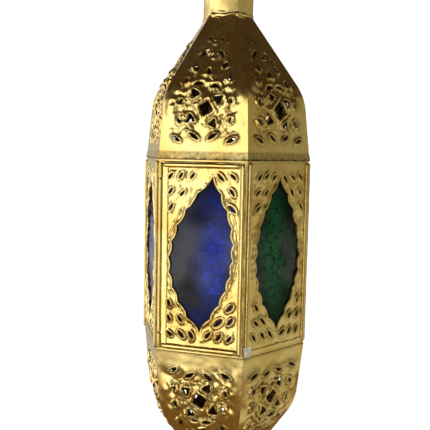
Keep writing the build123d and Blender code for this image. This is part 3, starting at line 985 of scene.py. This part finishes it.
# Meshes
def sheet_triangles(pattern, outline):
    """Flat triangles of a pierced sheet."""
    spots, edges, loops = pattern.points(outline)
    result = delaunay_2d_cdt([Vector(spot) for spot in spots.tolist()], edges, [], 0, WELD_GAP)
    flat = np.array([tuple(spot) for spot in result[0]])
    triangles = np.array([tuple(face) for face in result[2]])
    middles = flat[triangles].mean(1)
    keep = inside_loop(middles, loops[0])
    for loop in loops[1:]:
        near = near_box(middles, loop, 0)
        keep[near] &= ~inside_loop(middles[near], loop)
    triangles = triangles[keep]
    first, second, third = (flat[triangles[:, corner]] for corner in range(3))
    ahead = second - first
    aside = third - first
    backward = ahead[:, 0] * aside[:, 1] - ahead[:, 1] * aside[:, 0] < 0
    triangles[backward] = triangles[backward][:, ::-1]
    used, triangles = np.unique(triangles, return_inverse=True)
    return flat[used], triangles.reshape(-1, 3)


def closed_sheet(outer, inner, triangles):
    """Vertices and faces of a sheet with an outside, an inside and the walls between them."""
    count = len(outer)
    sides = np.vstack((triangles[:, (0, 1)], triangles[:, (1, 2)], triangles[:, (2, 0)]))
    keys = {tuple(side) for side in sides.tolist()}
    rim = [side for side in sides.tolist() if (side[1], side[0]) not in keys]
    faces = triangles.tolist() + (triangles[:, ::-1] + count).tolist()
    faces += [(end, start, start + count, end + count) for start, end in rim]
    return np.vstack((outer, inner)), faces


def ring_faces(levels, count, looped=False):
    """Faces through rings of points, closed by flat ends or, if looped, from the last ring to the first."""
    faces = []
    for level in range(levels if looped else levels - 1):
        low = level * count
        high = (level + 1) % levels * count
        for index in range(count):
            ahead = (index + 1) % count
            faces.append((low + index, low + ahead, high + ahead, high + index))
    if not looped:
        last = (levels - 1) * count
        faces.append(tuple(reversed(range(count))))
        faces.append(tuple(range(last, last + count)))
    return faces


def joined(*solids):
    points = []
    faces = []
    first = 0
    for solid_points, solid_faces in solids:
        points.append(solid_points)
        faces += [tuple(index + first for index in face) for face in solid_faces]
        first += len(solid_points)
    return np.vstack(points), faces


def with_inside_shade(recess):
    """Painted shade of a sheet's outside, followed by the painted shade of its inside."""
    return np.concatenate((recess, np.full(len(recess), INSIDE_SHADE)))


def make_mesh(name, points, faces, material, **attributes):
    """Smooth mesh with sharp edges, and a value of each attribute at each point."""
    mesh = bpy.data.meshes.new(name)
    mesh.from_pydata((np.asarray(points) * MM).tolist(), [], faces)
    mesh.materials.append(material)
    mesh.shade_smooth()
    mesh.set_sharp_from_angle(angle=SHARP_ANGLE)
    for attribute, values in attributes.items():
        layer = mesh.attributes.new(attribute, "FLOAT", "POINT")
        layer.data.foreach_set("value", np.asarray(values, dtype=np.float32))
    return mesh


def finish_piece(name, mesh, slot, *nodes):
    """Piece that stands for CAD nodes of one body and rides with them."""
    piece = add_object(name, mesh)
    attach(piece, frame["nodes"][nodes[0]]["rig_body"])
    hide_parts(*nodes)


# Petals of the domes
def petal_profile(heights):
    """Distance of a petal's outside from the axis, and its lean, at heights above its foot."""
    tangent = SHOULDER_RADIUS * math.tan((ROOF_LEAN - SKIRT_LEAN) / 2)
    start_height = SHOULDER_HEIGHT - tangent * math.cos(SKIRT_LEAN)
    end_height = SHOULDER_HEIGHT + tangent * math.cos(ROOF_LEAN)
    centre_height = start_height - SHOULDER_RADIUS * math.sin(SKIRT_LEAN)
    start_reach = APOTHEM - start_height * math.tan(SKIRT_LEAN)
    centre_reach = start_reach - SHOULDER_RADIUS * math.cos(SKIRT_LEAN)
    leans = np.arcsin(np.clip((heights - centre_height) / SHOULDER_RADIUS, -1, 1))
    leans = np.clip(leans, SKIRT_LEAN, ROOF_LEAN)
    reaches = centre_reach + SHOULDER_RADIUS * np.cos(leans)
    reaches = np.where(heights < start_height, APOTHEM - heights * math.tan(SKIRT_LEAN), reaches)
    roof = SHOULDER_REACH - (heights - SHOULDER_HEIGHT) * math.tan(ROOF_LEAN)
    return np.where(heights > end_height, roof, reaches), leans


def rosette_straps(diamond):
    """Straight ridges along the sides of the rosette's diamond, crossing at its corners."""
    straps = []
    for start, end in zip(diamond, np.roll(diamond, -1, axis=0)):
        along = (end - start) / np.linalg.norm(end - start)
        aside = np.array((along[1], -along[0])) * STRAP_GAP
        shares = np.linspace(0, 1, STRAP_POINTS)[:, None]
        line_start = start - along * STRAP_OVERRUN + aside
        line_end = end + along * STRAP_OVERRUN + aside
        straps.append((line_start + shares * (line_end - line_start), *STRAP_RIDGE))
    return straps


def petal_pattern(random, ground_shade):
    """Rosette of a diamond among four triangles, leaves below it, eyes beside it and a crown above it."""
    pattern = Pattern(random, PETAL_ERRORS, ground_shade)
    rosette_turn = ROSETTE_TURN + random.normal(0, ROSETTE_TURN_ERROR)
    diamond = polygon_loop(DIAMOND_RADIUS, 4, stretch=DIAMOND_STRETCH)
    worn = softened_loop(diamond, DIAMOND_CORNER_SHARE)
    pattern.pierce(worn, (0, ROSETTE_HEIGHT), rosette_turn, DIAMOND_LIP, rosette_straps(diamond))
    for corner in range(4):
        toward = np.radians(45 + 90 * corner + rosette_turn)
        centre = np.array((math.cos(toward), math.sin(toward))) * TRIANGLE_SPREAD + (0, ROSETTE_HEIGHT)
        triangle = softened_loop(polygon_loop(TRIANGLE_RADIUS, 3))
        brow = (arc_line(*BROW_ARC), *BROW_RIDGE)
        pattern.pierce(triangle, centre, math.degrees(toward), TRIANGLE_LIP, [brow])
    for radius, height in CROWN_TRIANGLES:
        pattern.pierce(softened_loop(polygon_loop(radius, 3, CROWN_TURN)), (0, height), 0, TRIANGLE_LIP)
    for side in (-1, 1):
        for places, *marks in (LEAVES, EYES, BOWS):
            for place, height, turn in places:
                pattern.pierce_leaf((side * place, height), side * turn, *marks)
        square = softened_loop(polygon_loop(SQUARE_RADIUS, 4))
        pattern.pierce(square, (side * CROWN_SQUARE[0], CROWN_SQUARE[1]), 0, SQUARE_LIP)
    for place, height, turn in random.uniform(STROKE_LOW, STROKE_HIGH, (STROKES, 3)):
        stroke = turned_points(arc_line(*STROKE_ARC), turn, (place, height))
        pattern.ridges.append((stroke, *STROKE_RIDGE))
    for place, height in DOTS:
        for side in (-1, 1) if place else (1,):
            pattern.pierce(polygon_loop(DOT_RADIUS, DOT_CORNERS), (side * place, height), 0, DOT_LIP)
    return pattern


def petal_outline():
    heights = np.linspace(0, DOME_HEIGHT, PETAL_ROWS)
    widths = petal_profile(heights)[0] * HALF_FACE_TAN - PETAL_SEAM
    right = np.column_stack((widths, heights))
    left = np.column_stack((-widths, heights))
    return np.vstack((right, left[::-1]))


def make_petal(name, node, step, lower, seed):
    random = np.random.default_rng(seed)
    pattern = petal_pattern(random, LOWER_GROUND_SHADE if lower else UPPER_GROUND_SHADE)
    flat, triangles = sheet_triangles(pattern, petal_outline())
    relief, recess = pattern.relief(flat)
    heights = flat[:, 1]
    reaches, leans = petal_profile(heights)
    edge = reaches * HALF_FACE_TAN - np.abs(flat[:, 0])
    margins = (edge, heights, DOME_HEIGHT - heights)
    ground = ripples(flat, PETAL_GROUND, random) * fade(margins, PETAL_GROUND_SPANS)
    dents = ripples(flat, PETAL_DENTS, random) + ground
    boldness = LOWER_BOLDNESS if lower else UPPER_BOLDNESS
    boldness = boldness * (1 - ROOF_CALM_SHARE * smooth_step(heights, SHOULDER_HEIGHT, ROOF_CALM_HEIGHT))
    proud = boldness * relief * smooth_step(edge, *PETAL_RELIEF_SPAN)
    proud = proud + dents * fade(margins, PETAL_DENT_SPANS)
    # Painted shade along the petal's foot, where it meets the rim
    recess = recess + SEAM_SHADE * np.exp(-heights / SEAM_SHADE_REACH)
    if not lower:
        crease = FOOT_CREASE_DEPTH * bell((heights - FOOT_BAND_HEIGHT) / FOOT_CREASE_WIDTH)
        proud = proud + FOOT_FLARE * (1 - smooth_step(heights, FLARE_START, FOOT_BAND_HEIGHT)) - crease
        # Painted shade on the foot band
        band = 1 - smooth_step(heights, FOOT_BAND_HEIGHT - FOOT_BAND_FADE, FOOT_BAND_HEIGHT)
        recess = recess + FOOT_BAND_SHADE * band

    def placed(offset):
        radial = reaches + offset * np.cos(leans)
        rise = heights + offset * np.sin(leans) * fade(margins[1:], (PETAL_END_SPAN, PETAL_END_SPAN))
        level = LOWER_FOOT - rise if lower else UPPER_FOOT + rise
        return turned_to_side(np.column_stack((flat[:, 0] * radial / reaches, -radial, level)), step)

    outward = triangles[:, ::-1] if lower else triangles
    points, faces = closed_sheet(placed(proud), placed(proud - SHEET_THICKNESS), outward)
    mesh = make_mesh(name, points, faces, brass, recess=with_inside_shade(recess))
    finish_piece(name, mesh, "brass_sheet", node)


# Pierced panels of the body
def window_side(side, lean):
    """Scalloped edge from the window's top tip down one side, and its cusps."""
    top = np.array((lean, WINDOW_TOP))
    bottom = np.array((0.0, WINDOW_BOTTOM))
    middle = np.array((side * WINDOW_HALF_WIDTH, 0.0))
    shares = np.linspace(0, 1, SCALLOPS + 1)[:, None]
    control = 2 * middle - (top + bottom) / 2
    cusps = (1 - shares) ** 2 * top + 2 * shares * (1 - shares) * control + shares**2 * bottom
    edge = []
    for start, end in zip(cusps, cusps[1:]):
        ahead = end - start
        inward = -side * np.array((-ahead[1], ahead[0])) / np.linalg.norm(ahead)
        spots = np.linspace(0, 1, SCALLOP_POINTS + 1)[:-1, None]
        edge.append(start + spots * ahead + inward * SCALLOP_DEPTH * 4 * spots * (1 - spots))
    return np.vstack(edge), cusps


def panel_pattern(random, lean):
    """Pointed window edged with lobes, and leaf-shaped slits in the four corners."""
    pattern = Pattern(random, PANEL_ERRORS, PANEL_GROUND_SHADE)
    right, right_cusps = window_side(1, lean)
    left, left_cusps = window_side(-1, lean)
    tip = np.array([(0.0, WINDOW_BOTTOM)])
    pattern.cut(np.vstack((right, tip, left[:0:-1])), *WINDOW_LIP)
    for side, cusps in ((1, right_cusps), (-1, left_cusps)):
        groove = cusps[1:-1] + np.array((side * GROOVE_GAP, 0.0))
        pattern.ridges.append((groove, *GROOVE_RIDGE))
        for cusp in cusps[1:-1]:
            outward = np.array((side, np.sign(cusp[1]) * NICK_SLOPE))
            shares = np.linspace(NICK_START_SHARE, 1, NICK_POINTS)[:, None]
            pattern.ridges.append((cusp + outward * shares * NICK_LENGTH, *NICK_RIDGE))
    for end, (start, *marks) in ((-1, LOWER_SLITS), (1, UPPER_SLITS)):
        for side, cusps in ((-1, left_cusps), (1, right_cusps)):
            for row in range(SLIT_ROWS):
                height = start - end * row * SLIT_ROW_PITCH
                edge = np.interp(height, cusps[::-1, 1], cusps[::-1, 0])
                room = SLIT_OUTER - side * edge - SLIT_WINDOW_MARGIN
                for column in range(min(SLIT_ROWS - row, int(room / SLIT_PITCH) + 1)):
                    centre = (side * (SLIT_OUTER - column * SLIT_PITCH), height)
                    pattern.pierce_leaf(centre, -side * end * SLIT_TURN, *marks)
    return pattern


def panel_sheet(pattern, outline, reach, random):
    """Sheet of a panel on the front side, with its chasing and small dents."""
    flat, triangles = sheet_triangles(pattern, outline)
    relief, recess = pattern.relief(flat)
    calm = smooth_step(-edge_gap(flat, outline), *PANEL_DENT_SPAN)
    proud = relief + calm * ripples(flat, PANEL_DENTS, random)

    def placed(offset):
        return np.column_stack((flat[:, 0], -(reach + offset), BODY_MIDDLE + flat[:, 1]))

    points, faces = closed_sheet(placed(proud), placed(np.zeros(len(flat)) - SHEET_THICKNESS), triangles)
    return points, faces, with_inside_shade(recess)


def rod(start, end, radius, random, wobble=BEAD_WOBBLE, flat_side=None, bore=None):
    """Round bar or, with a bore, a tube. Points behind the flat side of a bar are pressed flat."""
    start = np.array(start, dtype=float)
    end = np.array(end, dtype=float)
    length = np.linalg.norm(end - start)
    along = (end - start) / length
    aside = np.cross(along, (0.0, 1.0, 0.0))
    aside /= np.linalg.norm(aside)
    across = np.cross(along, aside)
    tip = ROD_END_SHARE * radius
    middle = np.arange(radius, length - radius, ROD_STEP)
    places = np.concatenate(([0, tip], middle, [length - tip, length]))
    sizes = np.ones(len(places))
    sizes[:2] = ROD_END_SIZE_SHARES
    sizes[-2:] = ROD_END_SIZE_SHARES[::-1]
    sway = random.normal(0, wobble, (len(places), 3))
    sway[0] = sway[-1] = 0
    angles = np.arange(ROD_POINTS) * math.tau / ROD_POINTS
    ring = np.cos(angles)[:, None] * aside + np.sin(angles)[:, None] * across
    points = []
    for place, size, shift in zip(places, sizes, sway):
        spots = start + along * place + ring * radius * size * (1 + shift[2] * ROD_SWELL_SHARE)
        points.append(spots + (aside * shift[0] + across * shift[1]) * ROD_SWAY_SHARE)
    if bore is not None:
        points += [start + along * place + ring * bore for place in (length, 0)]
    faces = ring_faces(len(points), ROD_POINTS, looped=bore is not None)
    points = np.vstack(points)
    if flat_side is not None:
        points[:, Y] = np.minimum(points[:, Y], flat_side)
    return points, faces


def foot_shade(points, reach, height):
    """Painted shade along the foot of a bead that lies on a sheet of the front side."""
    rise = (-reach - points[:, Y]) / height
    return FOOT_SHADE * (1 - smooth_step(rise, *FOOT_SHADE_SHARES))


def hem(random):
    """Bottom edge of a side panel, folded up and hammered down on the front of the sheet."""
    half_length = BEAD_PLACE - BEAD_RADIUS - HEM_END_GAP
    places = np.linspace(half_length, -half_length, HEM_POINTS)
    wave = ripple(np.column_stack((places, places)), HEM_WAVE, random)
    section = HEM_SECTION_SHARES * (SHEET_THICKNESS, HEM_HEIGHT)
    rings = []
    for place, swing in zip(places, wave):
        ring = np.column_stack((np.full(len(section), place), section))
        ring[:, Y] = -APOTHEM - ring[:, Y] * (1 + HEM_UNEVEN_SHARE * swing)
        ring[:, Z] = BODY_BOTTOM + ring[:, Z] * (1 + HEM_UNEVEN_SHARE * swing / 2)
        rings.append(ring)
    return np.vstack(rings), ring_faces(len(rings), len(section))


def make_side_panel(step, seed):
    random = np.random.default_rng(seed)
    name = f"pierced_side_{step}"
    pattern = panel_pattern(random, 0.0)
    outline = rectangle_loop(-PANEL_HALF_WIDTH, PANEL_HALF_WIDTH, -BODY_HALF_HEIGHT, BODY_HALF_HEIGHT)
    points, faces, recess = panel_sheet(pattern, outline, APOTHEM, random)
    beads = []
    for side in (-1, 1):
        bottom = (side * BEAD_PLACE, -APOTHEM, BODY_BOTTOM)
        top = (side * BEAD_PLACE, -APOTHEM, BODY_TOP)
        beads.append(rod(bottom, top, BEAD_RADIUS, random, flat_side=SHEET_THICKNESS / 2 - APOTHEM))
    shade = [foot_shade(bead[0], APOTHEM, BEAD_RADIUS) for bead in beads]
    beads.append(hem(random))
    shade.append(foot_shade(beads[-1][0], APOTHEM, SHEET_THICKNESS))
    points, faces = joined((points, faces), *beads)
    recess = np.concatenate((recess, *shade))
    mesh = make_mesh(name, turned_to_side(points, step), faces, brass, recess=recess)
    finish_piece(name, mesh, "brass_sheet", f"side_panel_{step}")


def make_door(seed):
    random = np.random.default_rng(seed)
    bottom = DOOR_LOW[Z] - BODY_MIDDLE
    top = DOOR_HIGH[Z] - BODY_MIDDLE
    outline = rectangle_loop(DOOR_LOW[X], DOOR_HIGH[X], bottom, top)
    pattern = panel_pattern(random, DOOR_WINDOW_LEAN)
    points, faces, recess = panel_sheet(pattern, outline, -DOOR_LOW[Y], random)
    mesh = make_mesh("pierced_door", points, faces, brass, recess=recess)
    finish_piece("pierced_door", mesh, "brass_sheet", "door_panel")


# Figured glass panes
def flower_figure(flat, random):
    """Lines of a repeat of flowers in staggered rows: one on a line, zero on the ground."""
    shifted = flat - PANE_LOW[[X, Z]] + random.uniform(0, FLOWER_PITCH, 2)
    row = np.floor(shifted[:, 1] / FLOWER_PITCH)
    upward = shifted[:, 1] - (row + 0.5) * FLOWER_PITCH
    staggered = shifted[:, 0] + row % 2 * FLOWER_PITCH / 2
    across = staggered - (np.floor(staggered / FLOWER_PITCH) + 0.5) * FLOWER_PITCH
    reach = np.hypot(across, upward)
    bearing = np.arctan2(upward, across) + ripples(flat, FLOWER_SWAY, random)
    swell = np.abs(np.cos(FLOWER_PETALS / 2 * bearing))
    petal_edge = FLOWER_RADIUS * (FLOWER_WAIST_SHARE + (1 - FLOWER_WAIST_SHARE) * swell)
    figure = bell((reach - petal_edge) / FLOWER_LINE) + bell(reach / FLOWER_HEART)
    return np.clip(figure + ripples(flat, FIGURE_UNEVEN, random), 0, 1)


def make_pane(name, node, step, seed, backlight_place):
    """Pane whose faces are sunk a little between the lines of a cast flower figure."""
    random = np.random.default_rng(seed)
    outer = APOTHEM - SHEET_THICKNESS if step else -PANE_LOW[Y]
    inner = outer - (PANE_HIGH[Y] - PANE_LOW[Y])
    columns, rows = (
        np.linspace(PANE_LOW[axis], PANE_HIGH[axis], int((PANE_HIGH[axis] - PANE_LOW[axis]) / PANE_STEP) + 1)
        for axis in (X, Z)
    )
    flat = np.stack(np.meshgrid(columns, rows), axis=2).reshape(-1, 2)
    figure = flower_figure(flat, random)
    rise = flat[:, 1] - BODY_MIDDLE
    # Painted light shining through the pane from behind, brightest at one place, makes its colour brighter
    # there
    glow = bell((flat[:, 0] - backlight_place) / BACKLIGHT_WIDTH) * bell(rise / BACKLIGHT_HEIGHT)
    tint_and_backlight = np.clip(LEAST_TINT + ripples(flat, TINT_UNEVEN, random) + BACKLIGHT_TINT * glow, 0, 1)
    sheen = bell(rise / SHEEN_HEIGHT) * (1 + ripples(flat, SHEEN_UNEVEN, random))
    sheen = np.clip(sheen * (1 - BACKLIGHT_SHEEN_LOSS_SHARE * glow), 0, 1)
    margin = np.minimum(flat - PANE_LOW[[X, Z]], PANE_HIGH[[X, Z]] - flat).min(1)
    sunk = FIGURE_DEPTH * (1 - figure) * smooth_step(margin, *PANE_EDGE_SPAN)
    count = len(columns)
    corners = [row * count + column for row in range(len(rows) - 1) for column in range(count - 1)]
    lower_half = [(corner, corner + 1, corner + count + 1) for corner in corners]
    upper_half = [(corner, corner + count + 1, corner + count) for corner in corners]
    front = np.column_stack((flat[:, 0], sunk - outer, flat[:, 1]))
    back = np.column_stack((flat[:, 0], -inner - sunk / 2, flat[:, 1]))
    points, faces = closed_sheet(front, back, np.array(lower_half + upper_half))
    slot = SLOTS[node]
    looks = {"figure": np.tile(figure, 2), "tint_and_backlight": np.tile(tint_and_backlight, 2), "sheen": np.tile(sheen, 2)}
    mesh = make_mesh(name, turned_to_side(points, step), faces, GLASSES[slot], **looks)
    finish_piece(name, mesh, slot, node)


# Neck
def neck_ring(offsets, level):
    """Points round the hexagon of the neck, each pushed out by its offset."""
    points = []
    for index, offset in enumerate(offsets):
        side, spot = divmod(index, NECK_SIDE_POINTS)
        facing = math.radians(FACE_TURN * side + NECK_TWIST)
        outward = np.array((math.sin(facing), -math.cos(facing)))
        aside = np.array((math.cos(facing), math.sin(facing)))
        reach = NECK_APOTHEM + offset
        across = (2 * spot / NECK_SIDE_POINTS - 1) * HALF_FACE_TAN * reach
        points.append((*(outward * reach + aside * across), NECK_BOTTOM + level))
    return np.array(points)


def neck_waves(around, level, waves, seed):
    """Waves round the neck at a level. One seed gives one set of waves for all levels."""
    height, length, stretch_round, stretch_up = waves
    spots = np.column_stack((around * stretch_round, np.full(len(around), stretch_up * level)))
    return height * ripple(spots, length, np.random.default_rng(seed))


def make_neck(seed):
    random = np.random.default_rng(seed)
    around = np.arange(SIDES * NECK_SIDE_POINTS)
    bearing = math.tau * around / len(around)
    circle = np.column_stack((np.cos(bearing), np.sin(bearing))) * NECK_APOTHEM
    fold_height = NECK_FOLD_HEIGHT * (1 + ripples(circle, FOLD_CRINKLE, random))
    bulge = ripples(circle, FOLD_BULGE, random).clip(-1, 1)
    fold_proud = NECK_FOLD_PROUD * (1 - FOLD_BULGE_SHARE + FOLD_BULGE_SHARE * bulge)
    folded = np.linspace(-NECK_FOLD_DROP, FOLD_TOP_SHARE * NECK_FOLD_HEIGHT, FOLD_LEVELS)
    levels = np.concatenate((folded, np.linspace(TUBE_START, NECK_HEIGHT, TUBE_LEVELS)))
    spots = 2 * (around % NECK_SIDE_POINTS) / NECK_SIDE_POINTS - 1
    bow = NECK_BOW * (1 - spots**2)
    rings = []
    for level in levels:
        swell = 1 - smooth_step(level / fold_height, *FOLD_SWELL_SHARES)
        fold = (fold_proud + neck_waves(around, level, NECK_WRINKLES, seed + 1)) * swell
        dents = neck_waves(around, level, NECK_DENTS, seed) * smooth_step(level, *NECK_DENT_SPAN)
        rings.append(neck_ring(fold + dents + bow, level))
    bore = np.full(len(around), -SHEET_THICKNESS)
    rings += [neck_ring(bore, level) for level in (levels[-1], levels[0])]
    faces = ring_faces(len(rings), len(around), looped=True)
    mesh = make_mesh("folded_neck", np.vstack(rings), faces, brass)
    finish_piece("folded_neck", mesh, "brass_sheet", "neck")


# Door frame
def door_border(random, hinge_place, barrel_half):
    """Flat border of the door with a tongue to the wall of the barrel, and the painted shade beside its
    beads.
    """
    bottom = DOOR_LOW[Z] - BODY_MIDDLE
    top = DOOR_HIGH[Z] - BODY_MIDDLE
    left = DOOR_LOW[X]
    right = DOOR_HIGH[X]
    barrel_wall = hinge_place + (BARREL_BORE + BARREL_RADIUS) / 2
    tongue = [
        (left, barrel_half),
        (barrel_wall, barrel_half),
        (barrel_wall, -barrel_half),
        (left, -barrel_half),
    ]
    outline = np.vstack((rectangle_loop(left, right, bottom, top), tongue))
    sides = (left + DOOR_BORDER, right - DOOR_BORDER)
    opening = rectangle_loop(*sides, bottom + DOOR_BORDER, top - DOOR_BORDER)
    border = Pattern(random, (0, 0, 0), 0)
    border.cut(opening, 0)
    flat, triangles = sheet_triangles(border, outline)
    inset = edge_gap(flat, opening)
    dents = ripples(flat, BORDER_DENTS, random) * smooth_step(inset, *BORDER_DENT_SPAN)
    proud = DOOR_BORDER_THICKNESS * smooth_step(inset, *BORDER_SPAN) + dents
    front = np.column_stack((flat[:, 0], DOOR_LOW[Y] - proud, BODY_MIDDLE + flat[:, 1]))
    back = np.column_stack((flat[:, 0], np.full(len(flat), DOOR_LOW[Y]), BODY_MIDDLE + flat[:, 1]))
    # Painted shade on the border along the feet of the beads
    bead_gap = np.abs(inset - DOOR_BORDER + 2 * DOOR_BEAD_RADIUS)
    shade = BORDER_SHADE * np.exp(-bead_gap / BORDER_SHADE_REACH)
    return closed_sheet(front, back, triangles), np.concatenate((shade, np.zeros(len(flat))))


def make_door_frame(seed):
    random = np.random.default_rng(seed)
    hinge_place = lowest("door_frame", X) + BARREL_RADIUS
    hinge_reach = lowest("hinge_knuckles", Y) + BARREL_RADIUS
    barrel_half = BODY_HALF_HEIGHT - BARREL_END
    border, border_shade = door_border(random, hinge_place, barrel_half)
    right_place = DOOR_HIGH[X] - DOOR_BEAD_RADIUS
    bottom_level = DOOR_LOW[Z] + BOTTOM_BEAD_RADIUS
    top_level = DOOR_HIGH[Z] - DOOR_BEAD_RADIUS
    beads = (
        ((right_place, DOOR_LOW[Z]), (right_place, DOOR_HIGH[Z]), DOOR_BEAD_RADIUS),
        ((DOOR_LOW[X], bottom_level), (right_place, bottom_level), BOTTOM_BEAD_RADIUS),
        ((DOOR_LOW[X], top_level), (right_place, top_level), DOOR_BEAD_RADIUS),
    )
    solids = [border]
    for start, end, radius in beads:
        start, end = ((place, DOOR_LOW[Y], level) for place, level in (start, end))
        solids.append(rod(start, end, radius, random, flat_side=BEAD_SINK + DOOR_LOW[Y]))
    low, high = ((hinge_place, hinge_reach, BODY_MIDDLE + end) for end in (-barrel_half, barrel_half))
    solids.append(rod(low, high, BARREL_RADIUS, random, wobble=BARREL_WOBBLE, bore=BARREL_BORE))
    shade = [foot_shade(solid[0], -DOOR_LOW[Y], DOOR_BEAD_RADIUS) for solid in solids[1:]]
    points, faces = joined(*solids)
    recess = np.concatenate((border_shade, *shade))
    mesh = make_mesh("beaded_door_frame", points, faces, brass, recess=recess)
    finish_piece("beaded_door_frame", mesh, "brass_sheet", "door_frame")


# Solder
def make_solder(seed):
    random = np.random.default_rng(seed)
    work = bmesh.new()
    bmesh.ops.create_icosphere(work, subdivisions=4, radius=1.0)
    ball = np.array([tuple(vert.co) for vert in work.verts])
    faces = [tuple(vert.index for vert in face.verts) for face in work.faces]
    work.free()
    spots = ball[:, :Z] * SOLDER_LUMP_SPREAD + ball[:, Z:]
    lumps = 1 + SOLDER_LUMP_SHARE * ripple(spots, SOLDER_LUMP_LENGTH, random)
    shape = ball * lumps[:, None] * SOLDER_RADIUS * SOLDER_STRETCH
    place = (-BEAD_PLACE, -APOTHEM - BEAD_RADIUS / 2, BODY_BOTTOM + SOLDER_RISE)
    mesh = make_mesh("corner_solder", turned_to_side(shape + place, 1), faces, solder)
    piece = add_object("corner_solder", mesh)
    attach(piece, "lantern")


# Plain metal pieces: the CAD shape with its edges rounded
def make_softened(node, bevel):
    mesh = frame["nodes"][node].data.copy()
    mesh.name = f"soft_{node}"
    work = bmesh.new()
    work.from_mesh(mesh)
    bmesh.ops.remove_doubles(work, verts=work.verts, dist=SOFT_WELD_GAP * MM)
    bmesh.ops.dissolve_limit(work, angle_limit=FLAT_ANGLE, verts=work.verts, edges=work.edges)
    bmesh.ops.bevel(
        work,
        geom=[edge for edge in work.edges if edge.is_manifold and edge.calc_face_angle() > BEVEL_ANGLE],
        offset=bevel * MM,
        offset_type="OFFSET",
        segments=2,
        profile=0.5,
        affect="EDGES",
        clamp_overlap=True,
    )
    work.to_mesh(mesh)
    work.free()
    mesh.materials.clear()
    mesh.materials.append(fitting_brass)
    mesh.shade_smooth()
    mesh.set_sharp_from_angle(angle=SOFT_SHARP_ANGLE)
    finish_piece(f"soft_{node}", mesh, SLOTS[node], node)


make_camera()
make_studio()
for step in range(SIDES):
    make_petal(f"chased_upper_{step + 1}", f"upper_petal_{step + 1}", step, False, UPPER_SEED + step)
    make_petal(f"chased_lower_{step + 1}", f"lower_petal_{step + 1}", step, True, LOWER_SEED + step)
for step in range(1, SIDES):
    make_side_panel(step, PANEL_SEED + step)
    make_pane(f"figured_glass_{step}", f"side_glass_{step}", step, PANE_SEED + step, SIDE_BACKLIGHT_PLACE)
make_door(DOOR_SEED)
make_door_frame(FRAME_SEED)
make_neck(NECK_SEED)
make_solder(SOLDER_SEED)
make_pane("figured_glass_door", "door_glass", 0, DOOR_PANE_SEED, DOOR_BACKLIGHT_PLACE)
for node, bevel in SOFT_BEVELS.items():
    make_softened(node, bevel)
